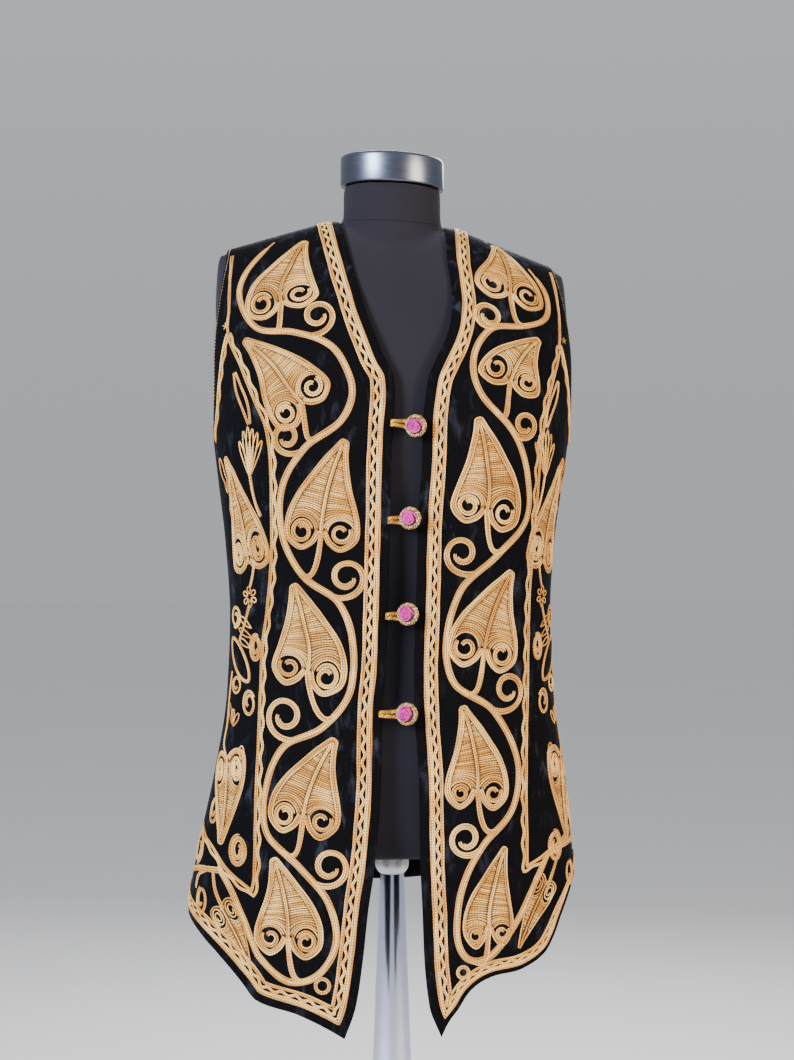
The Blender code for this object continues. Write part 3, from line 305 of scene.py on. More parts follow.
class Face:
    """The front or the back of the vest: points by reach and level."""

    STEP = 3.0
    REACH = 318.0
    RIDGE_BLEND = 24.0

    def __init__(self, facing):
        self.facing = facing
        climbs = np.hypot(np.diff(SECTIONS[:, 0]), np.diff(SECTIONS[:, 3]))
        self.marks = np.concatenate([[0.0], np.cumsum(climbs)])
        self.top = self.marks[-1]
        self.levels = np.linspace(0.0, self.top, int(self.top / self.STEP) + 1)
        self.reaches = np.arange(-self.REACH, self.REACH + self.STEP, self.STEP)
        self.grid = np.zeros((len(self.levels), len(self.reaches), 3))
        self.sides = np.zeros((len(self.levels), 2))
        for i, level in enumerate(self.levels):
            ring, length = self.section(level)
            for axis in range(3):
                self.grid[i, :, axis] = np.interp(self.reaches, length, ring[:, axis])
            self.sides[i] = -length[ring[:, 0].argmin()], length[ring[:, 0].argmax()]
        self.grid = self.grid + self.fold_heights()[..., None] * self.normals()
        self.outward = self.normals()

    def section(self, level):
        values = [float(monotone(self.marks, sizes, level)) for sizes in SECTIONS.T]
        z, right, left, front, back, power, fall = values
        near, far = (front, back) if self.facing < 0 else (back, front)
        angle = np.linspace(-math.pi, math.pi, 721)
        x = np.where(angle < 0, right, left) * power_of(np.sin(angle), 2 / power)
        depth = np.where(np.cos(angle) > 0, near, far)
        y = self.facing * depth * power_of(np.cos(angle), 2 / power)
        ring = np.stack([x, y, settle(x, z, fall)], axis=1)
        length = lengths(ring)
        return ring, length - length[len(angle) // 2]

    def fold_heights(self):
        height = np.zeros(self.grid.shape[:2])
        for facing, reach, level, wide, high, depth in FOLDS:
            if facing == self.facing:
                across = np.exp(-((self.reaches - reach) / wide) ** 2)
                up = np.exp(-((self.levels - level) / high) ** 2)
                height += depth * up[:, None] * across[None, :]
        up, across = np.meshgrid(self.levels, self.reaches, indexing="ij")
        for facing, reach, level, wide, long, turn, depth in CREASES:
            if facing == self.facing:
                turn = math.radians(turn)
                s, t = across - reach, up - level
                along = t * math.cos(turn) + s * math.sin(turn)
                beside = s * math.cos(turn) - t * math.sin(turn)
                beside = beside + 0.06 * wide * np.sin(along / long * 4.0 + reach)
                height += depth * np.exp(-(beside / wide) ** 2 - (along / long) ** 2)
        return height

    def normals(self):
        up, across = np.gradient(self.grid, axis=(0, 1))
        normal = -self.facing * np.cross(across, up)
        normal /= np.linalg.norm(normal, axis=2, keepdims=True) + 1e-12
        ridge = np.zeros_like(normal)
        x = self.grid[..., 0]
        outward = (np.abs(x) - FALL_START) / FALL_ROUND
        slope = 0.5 * SECTIONS[-1, 6] * (1 + outward / np.sqrt(outward**2 + 1))
        ridge[..., 0] = slope * np.sign(x) + LEAN
        ridge[..., 2] = 1.0
        blend = ease((self.levels - self.top + self.RIDGE_BLEND) / 20.0)[:, None, None]
        mixed = (1 - blend) * normal + blend * ridge
        return mixed / np.linalg.norm(mixed, axis=2, keepdims=True)

    def lift(self, places, height):
        """Points in millimetres over the places, each moved out by its height."""
        places = np.asarray(places, float)
        height = np.broadcast_to(np.asarray(height, float), places.shape[:-1])[..., None]
        i = np.interp(places[..., 1], self.levels, np.arange(len(self.levels)))
        j = np.interp(places[..., 0], self.reaches, np.arange(len(self.reaches)))
        i0 = np.minimum(i.astype(int), len(self.levels) - 2)
        j0 = np.minimum(j.astype(int), len(self.reaches) - 2)
        a, b = (i - i0)[..., None], (j - j0)[..., None]
        total = 0.0
        for grid, share in ((self.grid, 1.0), (self.outward, height)):
            low = (1 - b) * grid[i0, j0] + b * grid[i0, j0 + 1]
            high = (1 - b) * grid[i0 + 1, j0] + b * grid[i0 + 1, j0 + 1]
            total = total + share * ((1 - a) * low + a * high)
        return total

    def side_reach(self, level, sign):
        return float(np.interp(level, self.levels, self.sides[:, 0 if sign < 0 else 1]))


def resample(points, step):
    """The same run of points with even steps."""
    points = np.asarray(points, float)
    length = lengths(points)
    count = max(2, int(round(length[-1] / step)) + 1)
    at = np.linspace(0.0, length[-1], count)
    return np.stack([np.interp(at, length, points[:, k]) for k in range(points.shape[1])], axis=1)


def smooth(points, step):
    """A Catmull-Rom curve through the points, sampled with even steps."""
    points = np.asarray(points, float)
    ends = np.vstack([2 * points[0] - points[1], points, 2 * points[-1] - points[-2]])
    curve = []
    for a, b, c, d in zip(ends[:-3], ends[1:-2], ends[2:-1], ends[3:]):
        for u in np.linspace(0.0, 1.0, 16, endpoint=False):
            curve.append(0.5 * (2 * b + (c - a) * u + (2 * a - 5 * b + 4 * c - d) * u**2
                                + (3 * b - a - 3 * c + d) * u**3))
    curve.append(points[-1])
    return resample(curve, step)


def asides(path):
    """Unit vectors to the right of a path."""
    way = np.gradient(path, axis=0)
    way /= np.linalg.norm(way, axis=1, keepdims=True) + 1e-9
    return np.stack([way[:, 1], -way[:, 0]], axis=1)


def offset(path, distance):
    return path + np.asarray(distance, float).reshape(-1, 1) * asides(path)


def winding(points, loop):
    """How many times the loop runs round each point."""
    a = loop[None, :, :] - points[:, None, :]
    b = np.roll(loop, -1, axis=0)[None, :, :] - points[:, None, :]
    cross = a[..., 0] * b[..., 1] - a[..., 1] * b[..., 0]
    up = (a[..., 1] <= 0) & (b[..., 1] > 0) & (cross > 0)
    down = (a[..., 1] > 0) & (b[..., 1] <= 0) & (cross < 0)
    return up.sum(axis=1) - down.sum(axis=1)


def inside(points, loop):
    return np.concatenate([winding(part, loop) != 0 for part in np.array_split(points, 16)])


# Outlines of the panels
OUTLINE_STEP = 4.0


def edge_line(levels, side):
    reach = monotone(column(FRONT_EDGE, 0), column(FRONT_EDGE, 1 if side < 0 else 2), levels)
    return np.stack([reach, levels], axis=1)


def hem_level(table, reach):
    return monotone(column(table, 0), column(table, 1), reach)


def armhole_line(face, side):
    lowest = ARMHOLE[0][0]
    levels = np.append(np.arange(face.top - RIDGE_SEAM, lowest, -OUTLINE_STEP), lowest)
    reach = monotone(column(ARMHOLE, 0), column(ARMHOLE, 1 if face.facing < 0 else 2), levels)
    reach[-1] = face.side_reach(lowest, side) - SEAM
    return np.stack([reach, levels], axis=1)


def seam_line(face, side, lowest):
    levels = np.arange(ARMHOLE[0][0], lowest, -OUTLINE_STEP)[1:]
    return np.array([(face.side_reach(level, side) - SEAM, level) for level in levels])


def hem_curve(side, limit):
    table = TABLES[side]["hem"]
    reaches = np.append(np.arange(table[0][0], limit, 3.0), limit)
    return np.stack([reaches, hem_level(table, reaches)], axis=1)


def side_end(face, side, table, sign=1):
    """Where the hem meets the side seam, found step by step."""
    level = 160.0
    for _ in range(6):
        reach = face.side_reach(level, side) - SEAM
        level = float(hem_level(table, sign * reach))
    return reach, level


def front_outline(front, side):
    top = front.top - RIDGE_SEAM
    edge = edge_line(np.append(np.arange(FRONT_EDGE[0][0], top, OUTLINE_STEP), top), side)
    arm = armhole_line(front, side)
    shoulder = resample([edge[-1], arm[0]], OUTLINE_STEP)[1:-1]
    seam_reach, seam_level = side_end(front, side, TABLES[side]["hem"])
    seam = seam_line(front, side, seam_level)
    hem = resample(hem_curve(side, seam_reach), OUTLINE_STEP)[::-1]
    parts = [resample(edge, OUTLINE_STEP), shoulder, resample(arm, OUTLINE_STEP), seam, hem[:-1]]
    return np.vstack(parts) * (side, 1)


def back_outline(back):
    top = back.top - RIDGE_SEAM
    wide = BACK_NECK[-1][0]
    reaches = np.linspace(-wide, wide, 31)
    neck = np.stack([reaches, hem_level(BACK_NECK, np.abs(reaches))], axis=1)
    neck[0][1] = neck[-1][1] = top
    halves = []
    for side in (-1, 1):
        arm = armhole_line(back, side)
        shoulder = resample([(wide, top), arm[0]], OUTLINE_STEP)[1:-1]
        end = side_end(back, side, BACK_HEM, side)
        seam = seam_line(back, side, end[1])
        arm = resample(arm, OUTLINE_STEP)
        halves.append(np.vstack([shoulder, arm, seam, [end]]) * (side, 1))
    reaches = np.linspace(halves[0][-1][0], halves[1][-1][0], 130)[1:-1]
    hem = np.stack([reaches, hem_level(BACK_HEM, reaches)], axis=1)
    return np.vstack([resample(neck, OUTLINE_STEP), halves[1], hem[::-1], halves[0][::-1]])


# Building meshes
class Bunch:
    """Collects the vertices, faces and UV corners of one piece."""

    def __init__(self):
        self.verts, self.faces, self.uvs = [], [], []
        self.count = 0
        self.cords = 0

    def add(self, verts, faces, uvs):
        """verts in millimetres; uvs has one pair for each corner of each face."""
        self.verts.append(np.asarray(verts, float))
        self.faces.extend([tuple(v + self.count for v in face) for face in faces])
        self.uvs.extend(uvs)
        self.count += len(verts)

    def add_plain(self, rings):
        """A solid through rings of points, with no pattern on it."""
        faces, _ = tube_faces(len(rings), len(rings[0]))
        self.add(np.vstack(rings), faces, [(0.0, 0.0)] * sum(len(f) for f in faces))

    def add_cord(self, rings, length, closed=False, flipped=False, end=0.0):
        """A cord through rings of points: U runs along it, V is its number plus the turn."""
        self.cords += 1
        count = len(rings[0])
        faces, corners = tube_faces(len(rings), count, closed)
        uvs = []
        for r, k in corners:
            low, high = k / count + self.cords, (k + 1) / count + self.cords
            quad = [(length[r], low), (length[r], high), (length[r + 1], high), (length[r + 1], low)]
            uvs.extend(quad[::-1] if flipped else quad)
        if not closed:
            top = self.cords + TOP_TURN
            uvs.extend([(0.0, top)] * count + [(end, top)] * count)
        self.add(np.vstack(rings), [f[::-1] for f in faces] if flipped else faces, uvs)

    def make(self, name, material, nodes, slot, smooth_angle=50.0):
        mesh = bpy.data.meshes.new(name)
        mesh.from_pydata((np.vstack(self.verts) * MM).tolist(), [], self.faces)
        layer = mesh.uv_layers.new(name="UVMap")
        layer.data.foreach_set("uv", np.array(self.uvs, np.float32).ravel())
        mesh.materials.append(material)
        mesh.shade_smooth()
        mesh.set_sharp_from_angle(angle=math.radians(smooth_angle))
        item = bpy.data.objects.new(name, mesh)
        bpy.context.scene.collection.objects.link(item)
        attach(item, "root")
        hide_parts(*nodes)
        return item


def tube_faces(rings, count, closed=False):
    """Quads round a run of rings, with its ends closed unless it closes on itself."""
    faces, corners = [], []
    last = rings if closed else rings - 1
    for r in range(last):
        after = (r + 1) % rings
        for k in range(count):
            beside = (k + 1) % count
            faces.append((r * count + k, r * count + beside, after * count + beside,
                          after * count + k))
            corners.append((r, k))
    if not closed:
        faces.append(tuple(range(count))[::-1])
        faces.append(tuple(range((rings - 1) * count, rings * count)))
    return faces, corners


# A laid cord: radius, height of its middle, share of the radius at its two ends, section
# angles from one foot to the other, and the share of the way round at its top
CORD, REST, CORD_END = 1.05, 0.8, 0.62
SECTION_ANGLES = np.radians((-15.0, 35.0, 90.0, 145.0, 195.0))
TOP_TURN = 0.4
# Cords side by side: distance between them, and step along them
PITCH, CORD_STEP = 2.06, 2.6
HAND = 0.16


def lay_cord(bunch, face, path, radius=CORD, base=REST, side=1, closed=False):
    """A round cord laid on the cloth along places of reach and level."""
    path = np.asarray(path, float)
    if len(path) < 2:
        return
    wrapped = np.vstack([path[-1:], path, path[:1]])
    normal = asides(wrapped)[1:-1] if closed else asides(path)
    radius = np.full(len(path), float(radius))
    if not closed and len(path) > 3:
        radius[[0, -1]] *= CORD_END
    across = np.cos(SECTION_ANGLES)[None, :, None] * radius[:, None, None]
    places = (path[:, None, :] + across * normal[:, None, :]) * (side, 1)
    height = base + np.sin(SECTION_ANGLES)[None, :] * radius[:, None]
    length = lengths(wrapped[1:]) * MM
    flipped = side * face.facing > 0
    bunch.add_cord(face.lift(places, height), length, closed, flipped, length[len(path) - 1])


def wander(path, phase):
    """Small unevenness of hand-laid cord."""
    length = lengths(path)
    sway = np.sin(length / 11.0 + phase * 2.1) + 0.6 * np.sin(length / 5.3 + phase * 4.7)
    return offset(path, HAND * sway)


def strands(count):
    """Places of cords side by side, in pitches from their middle."""
    return [k - (count - 1) / 2 for k in range(count)]


def lay_ribbon(bunch, face, path, count, side, pitch=PITCH, radius=CORD, taper=0):
    """Cords side by side along a path, drawn to a point over its first taper samples."""
    path = resample(path, CORD_STEP)
    spread = ease(np.arange(len(path)) / taper) if taper else np.ones(len(path))
    for k, strand in enumerate(strands(count)):
        first = int(0.35 * taper * abs(strand))
        line = wander(offset(path, strand * pitch * spread), k + len(path))[first:]
        lay_cord(bunch, face, line, radius, 0.75 + 0.12 * math.sin(1.7 * k + len(path)), side)


def spiral(middle, start, shares, radius, hand, stretch=1.0):
    """Points of a spiral; shares has rows of turns done and share of the radius."""
    turns = shares[-1][0]
    done = np.linspace(0.0, turns, max(12, int(turns * 30)))
    size = radius * np.interp(done, column(shares, 0), column(shares, 1))
    turn = start + hand * done * 2 * math.pi
    x = middle[0] + size * np.cos(turn)
    return np.stack([x, middle[1] + size * stretch * np.sin(turn)], axis=1)


# How much of its path each cord of a band keeps, the outermost first
BAND_SHARES = (1.0, 1.0, 0.97)


def lay_band(bunch, face, path, cords, side, inner, radius=CORD, pitch=PITCH):
    """Cords of a spiral side by side; the inner ones end first. inner is their side, 1 right."""
    fine = resample(path, 2.0)
    for k, strand in enumerate(strands(cords)):
        last = int(len(fine) * BAND_SHARES[k])
        line = offset(fine, strand * pitch * inner)[:last]
        lay_cord(bunch, face, wander(line, k + fine[0][0]), radius, REST, side)


def lay_wave(bunch, face, path, side, amplitude, period, cords, phase=0.0):
    """Wavy cords side by side along a path."""
    path = resample(path, 1.9)
    length = lengths(path)
    sway = np.sin(2 * math.pi * length / period + phase + 0.5 * np.sin(length / 37.0))
    for strand in strands(cords):
        line = offset(path, amplitude * sway + strand * WAVE_PITCH)
        lay_cord(bunch, face, line, WAVE_CORD, 0.85, side)


def lay_loop(bunch, face, foot, tip, width, side):
    """A drop-shaped loop of cord from a foot to a tip."""
    foot, tip = np.asarray(foot, float), np.asarray(tip, float)
    along = tip - foot
    aside = np.array([along[1], -along[0]]) / np.linalg.norm(along) * width / 2
    path = smooth([foot + a * along + b * aside for a, b in DROP], 2.0)
    lay_cord(bunch, face, path, 0.95, 0.85, side)


# Thin solids on the cloth
def rim_of(loop, rim):
    """A closed loop drawn in by its rim."""
    turned = loop[:, 0] * np.roll(loop[:, 1], -1) - loop[:, 1] * np.roll(loop[:, 0], -1)
    ahead = np.roll(loop, -1, axis=0) - np.roll(loop, 1, axis=0)
    ahead /= np.linalg.norm(ahead, axis=1, keepdims=True) + 1e-9
    inward = np.stack([-ahead[:, 1], ahead[:, 0]], axis=1) * math.copysign(1.0, np.sum(turned))
    return loop + rim * inward


def within(points, loop, holes):
    """Which points lie in the loop and in none of the holes."""
    keep = inside(points, loop)
    for hole in holes:
        keep &= ~inside(points, hole)
    return keep


def fill_points(loop, holes, walls, step):
    """Staggered rows of points in the loop, none of them close to a wall."""
    low, high = loop.min(axis=0), loop.max(axis=0)
    xs = np.arange(low[0], high[0], step)
    ys = np.arange(low[1], high[1], step * 0.866)
    grid = np.array([(x + (step / 2 if k % 2 else 0.0), y) for k, y in enumerate(ys) for x in xs])
    grid = grid[within(grid, loop, holes)]
    near = [np.linalg.norm(part[:, None, :] - walls[None, :, :], axis=2).min(axis=1)
            for part in np.array_split(grid, max(1, len(grid) // 400))]
    return grid[np.concatenate(near) > step * 0.45]


def lay_sheet(bunch, face, loop, holes, step, low, high, rim=0.0, round_edge=None):
    """A closed thin solid over the places in a loop; a rounded edge drops its rim."""
    loops = [loop, *holes] + ([rim_of(loop, rim)] if rim else [])
    places, edges = [], []
    for ring in loops:
        first = len(places)
        places.extend(Vector(p) for p in ring)
        edges.extend((first + k, first + (k + 1) % len(ring)) for k in range(len(ring)))
    places.extend(Vector(p) for p in fill_points(loop, holes, np.vstack(loops), step))
    made = delaunay_2d_cdt(places, edges, [], 0, 0.01)
    flat, tris = np.array([tuple(v) for v in made[0]]), np.array(made[2])
    tris = tris[within(flat[tris].mean(axis=1), loop, holes)]
    used = np.unique(tris)
    flat, tris = flat[used], np.searchsorted(used, tris)
    a, b, c = (flat[tris[:, k]] for k in range(3))
    turned = np.cross(b - a, c - a) * -face.facing < 0
    tris[turned] = tris[turned][:, ::-1]
    pairs = {(t[k], t[(k + 1) % 3]) for t in tris.tolist() for k in range(3)}
    border = [pair for pair in sorted(pairs) if (pair[1], pair[0]) not in pairs]
    top, bottom = np.full(len(flat), high), np.full(len(flat), low)
    if round_edge:
        rim_points = np.unique(np.array(border))
        top[rim_points], bottom[rim_points] = round_edge
    count = len(flat)
    faces = [tuple(t) for t in tris.tolist()]
    faces += [tuple(v + count for v in t[::-1]) for t in tris.tolist()]
    faces += [(q, p, p + count, q + count) for p, q in border]
    scaled = flat * MM
    uvs = [tuple(scaled[v % count]) for f in faces for v in f]
    bunch.add(np.vstack([face.lift(flat, top), face.lift(flat, bottom)]), faces, uvs)
    return 0.5 * float(np.abs(np.cross(b - a, c - a)).sum()) * MM * MM


# Heart leaves. Above the first width a leaf has three outline cords, above the second two
WIDE_LEAF, SMALL_LEAF = 56, 40
FINE_PITCH, FINE_CORD = 1.75, 0.85
LEAF_BEND = 0.06
# A lobe's radius and the place of its middle, as shares of the leaf's width
LOBE, LOBE_MIDDLE = 0.245, 0.255
# Above this share of the length a leaf's lobes no longer turn
LOBE_TURN_END, LOBE_TURN_START = 0.55, -0.1
# Spirals: start angle in degrees, and rows of turns done and share of the radius
HOOK = (30, ((0, 1), (0.12, 0.95), (0.3, 0.80), (0.55, 0.74), (0.78, 0.60), (1.0, 0.42)))
LONG_HOOK = (165, ((0, 1), (0.55, 1), (0.8, 0.90), (1.05, 0.66), (1.25, 0.50), (1.34, 0.45)))
COIL = (60, ((0, 1), (0.5, 0.96), (2.2, 0.28)))
HOOK_WIDER = 1.16
# Room round a spiral, and round a long hook in a leaf above the width
HOOK_ROOM, LONG_HOOK_ROOM, LONG_HOOK_WIDTH = -0.1, 1.0, 62
ROW_PITCH, ROW_CORD, ROW_REST = 1.95, 0.90, 0.62


def leaf_cords(width):
    """Cords of the outline and of a spiral, their pitch and their radius."""
    if width > SMALL_LEAF:
        return 3 if width > WIDE_LEAF else 2, 2, PITCH, CORD
    return 1, 1, FINE_PITCH, FINE_CORD


def leaf_frame(row):
    """The map from a leaf's own places, with its notch at 0 and its tip up, and its length."""
    tip, notch = np.array(row[:2], float), np.array(row[2:4], float)
    along = tip - notch
    length = float(np.linalg.norm(along))
    up = along / length
    out = np.array([up[1], -up[0]])
    bend = -math.copysign(LEAF_BEND * row[4], along[0])
    lobe_turn = math.radians(row[6])

    def place(local):
        local = np.asarray(local, float)
        x, y = local[..., 0], local[..., 1]
        risen = (y / length - LOBE_TURN_START) / (LOBE_TURN_END - LOBE_TURN_START)
        turn = lobe_turn * (1 - ease(risen))
        x, y = x * np.cos(turn) - y * np.sin(turn), y * np.cos(turn) + x * np.sin(turn)
        share = y / length
        rise = np.clip(share, 0.0, 1.0)
        middle_line = 4 * bend * (rise * (1 - rise) + np.minimum(share, 0.0))
        slope = 4 * bend * (1 - 2 * rise) / length
        size = np.sqrt(1 + slope**2)
        return (notch + (middle_line + x / size)[..., None] * out
                + (y - x * slope / size)[..., None] * up)

    return place, length


def lay_leaf(bunch, under, face, row, side, stretch=1.0):
    """A heart leaf: outline cords, a spiral in each lobe, filling rows and a midrib."""
    place, length = leaf_frame(row)
    width, hang = row[4:6]
    cords, band, pitch, radius = leaf_cords(width)
    ribbon = cords * pitch
    inner = LOBE * width - ribbon
    high = inner * stretch
    middle = np.array([LOBE_MIDDLE * width, high + ribbon - hang * length])
    half = smooth([(a * width, b * length * (1.0 if b > 0 else hang)) for a, b in HALF_LEAF], 2.2)
    edge = offset(half, ribbon)
    edge = edge[edge[:, 0] > 0.0]
    for k in range(cords):
        inset = offset(half, pitch * (k + 0.5))
        inset = inset[inset[:, 0] > 0.35 * radius]
        whole = np.vstack([(inset * (-1, 1))[::-1], inset])
        lay_cord(bunch, face, wander(place(resample(whole, 2.0)), k + width), radius, REST, side)
    wide = HOOK_WIDER if stretch == 1.0 else 1.0
    for hand in (-1, 1):
        long = (int(row[0]) % 2 == 0) == (hand > 0)
        start, shares = COIL if stretch > 1.0 else LONG_HOOK if long else HOOK
        room = LONG_HOOK_ROOM if long and width > LONG_HOOK_WIDTH else HOOK_ROOM
        size = inner - band * wide * pitch / 2 - room
        path = spiral(middle, math.radians(start), shares, size, -1, high / inner)
        lay_band(bunch, face, place(path * (hand, 1)), band, side, hand, radius * wide, pitch * wide)
        lay_rows(bunch, face, place, edge, middle, (inner, high), (width, length), hand, side)
    lay_base(under, face, place, edge, middle, (inner, high), side)
    rib = smooth([(0, length * 0.93), (0.0, length * 0.5), (0, -0.03 * length)], CORD_STEP)
    for shift in (-0.9, 0.9) if width > SMALL_LEAF else (0.0,):
        lay_cord(bunch, face, place(offset(rib, shift)), 0.95, 1.2, side)


def lay_rows(bunch, face, place, edge, middle, lobe, size, hand, side):
    """Filling rows that bow over the lobe and flatten towards the tip."""
    loop = np.vstack([edge, [(0.0, edge[-1][1]), (0.0, edge[0][1])]])
    inner, high = lobe
    width, length = size
    reach_out = 0.62 * width
    row, apex = 0, high + 1.0
    while middle[1] + apex < length:
        bow = 1.0 - 0.94 * ease((apex - high) / (2.0 * high))
        reach = (apex - high + inner) / math.sqrt(bow)
        near = min(1.0, middle[0] / reach)
        far = max(-1.0, (middle[0] - reach_out) / reach)
        first = -0.6 if near == 1.0 else math.acos(near)
        last = math.pi + 0.6 if far == -1.0 else math.acos(far)
        turn = np.linspace(first, last, int((last - first) * reach / 1.5) + 3)
        path = np.stack([middle[0] - reach * np.cos(turn), middle[1] + apex * np.sin(turn)], axis=1)
        keep = (path[:, 0] > 1.5) & inside(path, loop)
        for run in np.split(np.arange(len(path)), np.nonzero(np.diff(keep.astype(int)))[0] + 1):
            if keep[run[0]] and len(run) > 1:
                line = wander(place(resample(path[run], 3.2) * (hand, 1)), row)
                lay_cord(bunch, face, line, ROW_CORD, ROW_REST + 0.12 * math.sin(row * 2.3), side)
        row += 1
        apex += ROW_PITCH


def lay_base(bunch, face, place, edge, middle, lobe, side):
    """The thread under a leaf's filling, open over the lobes' spirals; its dark brown is painted shade
    seen between the filling rows.
    """
    outline = resample(np.vstack([edge, (edge * (-1, 1))[::-1]]), 3.0)
    turn = np.linspace(0, 2 * math.pi, 28, endpoint=False)
    ring = np.stack([lobe[0] * np.cos(turn), lobe[1] * np.sin(turn)], axis=1)
    holes = [place((middle + ring) * (hand, 1)) * (side, 1) for hand in (-1, 1)]
    lay_sheet(bunch, face, place(outline) * (side, 1), holes, 5.0, 0.25, 0.55)


# Curls and stems. A curl's rows are turns done and share of the radius
CURL = ((0, 1), (0.5, 1), (0.72, 0.95), (0.86, 0.80), (1.0, 0.64), (1.2, 0.48), (1.36, 0.38))
CURL_CORDS, STEM_CORDS = 3, 3
# A stem meets the vine below and beside the notch; the other two are its ends' pull
STEM_DROP, STEM_ASIDE, STEM_PULL, STEM_JOIN = 40.0, 24.0, 98.0, 66.0


def lay_curl(bunch, face, row, path, side):
    """A spiral that leaves a path in its direction and winds in to a hook."""
    middle = np.array(row[:2], float)
    radius = row[2] - CURL_CORDS * PITCH / 2
    path = resample(path, 2.0)
    away = path - middle
    nearest = int(np.argmin(np.linalg.norm(away, axis=1)))
    x, y = away[nearest]
    distance = float(np.linalg.norm(away[nearest]))
    ahead = path[min(nearest + 1, len(path) - 1)] - path[max(nearest - 1, 0)]
    hand = 1 if x * ahead[1] - y * ahead[0] > 0 else -1
    points = spiral(middle, math.atan2(y, x), CURL, radius, hand)
    share = np.linspace(0.0, 1.0, len(points))[:, None]
    points += (points - middle) / radius * (distance - radius) * (1 - share) ** 9
    lay_band(bunch, face, points, CURL_CORDS, side, -hand)


def stem_path(row, vine):
    """A stem that drops from a heart's notch and curves up into the vine."""
    tip, notch = np.array(row[:2], float), np.array(row[2:4], float)
    below = notch - (0.0, STEM_DROP)
    at = int(np.argmin(np.linalg.norm(vine - below, axis=1)))
    side = math.copysign(1.0, vine[max(at - 5, 0)][0] - vine[at][0])
    meeting = below + (side * STEM_ASIDE, 0.0)
    at = int(np.argmin(np.linalg.norm(vine - meeting, axis=1)))
    at = min(max(at, 3), len(vine) - 4)
    down = 0.3 * (notch - tip) / np.linalg.norm(notch - tip) - (0.0, 0.7)
    back = vine[at - 3] - vine[at + 3]
    down /= np.linalg.norm(down)
    back /= np.linalg.norm(back)
    u = np.linspace(0.0, 1.0, 30)[:, None]
    return hermite(u, notch, STEM_PULL * down, vine[at], STEM_JOIN * back)


# Border cords as shares of the border's width: outer line, inner line, wave
OUTER_SHARES = (-0.415, -0.295, -0.175)
INNER_SHARES = (0.30, 0.42)
WAVE_SHARE, WAVE_REACH = 0.062, 0.088
WAVE_PERIOD, WAVE_PITCH, WAVE_CORD = 15.5, 1.65, 0.88
BORDER_CORD, BORDER_REST = 1.02, 0.78
# Border cords end this far from a side seam
SEAM_CLEAR = 1.6
# Where the left front's hem border narrows to a point at the side
TAPER_START, TAPER_LENGTH, TAPER_DEPTH = 150.0, 75.0, 0.72
BACK_BORDER_REACH, NECK_POWER = 290.0, 0.8


def border_path(front, side, share):
    """Path of one border cord down the front edge and along the hem."""
    edge_middle, edge_width, hem_middle, hem_width = TABLES[side]["border"]
    top = front.top - 2 * RIDGE_SEAM
    inset = edge_middle + share * edge_width
    edge = edge_line(np.append(np.arange(FRONT_EDGE[0][0], top, 3.0), top), side)
    down = offset(edge, inset)
    down[-1] = edge[-1] + (inset, 0.0)
    hem = hem_curve(side, front.side_reach(160.0, side) + 8.0)
    narrow = 1.0 - TAPER_DEPTH * ease((hem[:, 0] - TAPER_START) / TAPER_LENGTH) * (side > 0)
    along = offset(hem, -(hem_middle + share * hem_width * narrow))
    for i in range(len(down) - 1):
        for j in range(len(along) - 1):
            a, b = down[i], down[i + 1] - down[i]
            c, d = along[j], along[j + 1] - along[j]
            spread = b[0] * d[1] - b[1] * d[0]
            if abs(spread) < 1e-9:
                continue
            u = ((c - a)[0] * d[1] - (c - a)[1] * d[0]) / spread
            v = ((c - a)[0] * b[1] - (c - a)[1] * b[0]) / spread
            if 0 <= u <= 1 and 0 <= v <= 1:
                path = np.vstack([down[i + 1:][::-1], [a + u * b], along[j + 1:]])
                limits = np.array([front.side_reach(p[1], side) - SEAM_CLEAR for p in path])
                return path[(path[:, 0] < limits) | (path[:, 1] > 300)]
    raise ValueError("the border's two runs don't meet")


def lay_border(front, side, material):
    bunch = Bunch()
    for k, share in enumerate(OUTER_SHARES + INNER_SHARES):
        path = resample(border_path(front, side, share), CORD_STEP)
        lay_cord(bunch, front, wander(path, k + side), BORDER_CORD, BORDER_REST, side)
    path = border_path(front, side, WAVE_SHARE)
    lay_wave(bunch, front, path, side, WAVE_REACH * TABLES[side]["border"][1], WAVE_PERIOD, 2)
    name = TABLES[side]["name"]
    bunch.make(f"cord_border_{name}", material, [f"border_{name}"], "gold_cord")


def lay_back_borders(back, material):
    middle, width = BACK_BORDER
    hem, neck = Bunch(), Bunch()
    reaches = np.linspace(-BACK_BORDER_REACH, BACK_BORDER_REACH, 140)
    edge = np.stack([reaches, hem_level(BACK_HEM, reaches)], axis=1)
    top = back.top - 2 * RIDGE_SEAM
    angle = np.linspace(0.0, math.pi, 41)
    for k, share in enumerate(OUTER_SHARES + INNER_SHARES + (WAVE_SHARE,)):
        inset = middle + share * width
        line = offset(edge, -inset)
        seams = np.array([(back.side_reach(p[1], -1), back.side_reach(p[1], 1)) for p in line])
        line = line[(line[:, 0] > SEAM_CLEAR - seams[:, 0]) & (line[:, 0] < seams[:, 1] - SEAM_CLEAR)]
        wide = BACK_NECK[-1][0] + inset
        drop = top - BACK_NECK[0][1] + inset
        x = -wide * power_of(np.cos(angle), NECK_POWER)
        for bunch, path in ((hem, line), (neck, np.stack([x, top - drop * np.sin(angle)], axis=1))):
            if share == WAVE_SHARE:
                lay_wave(bunch, back, path, 1, WAVE_REACH * width, WAVE_PERIOD, 2)
            else:
                path = wander(resample(path, CORD_STEP), k)
                lay_cord(bunch, back, path, BORDER_CORD, BORDER_REST)
    hem.make("cord_border_back_hem", material, ["border_back_hem"], "gold_cord")
    neck.make("cord_border_back_neck", material, ["border_back_neck"], "gold_cord")


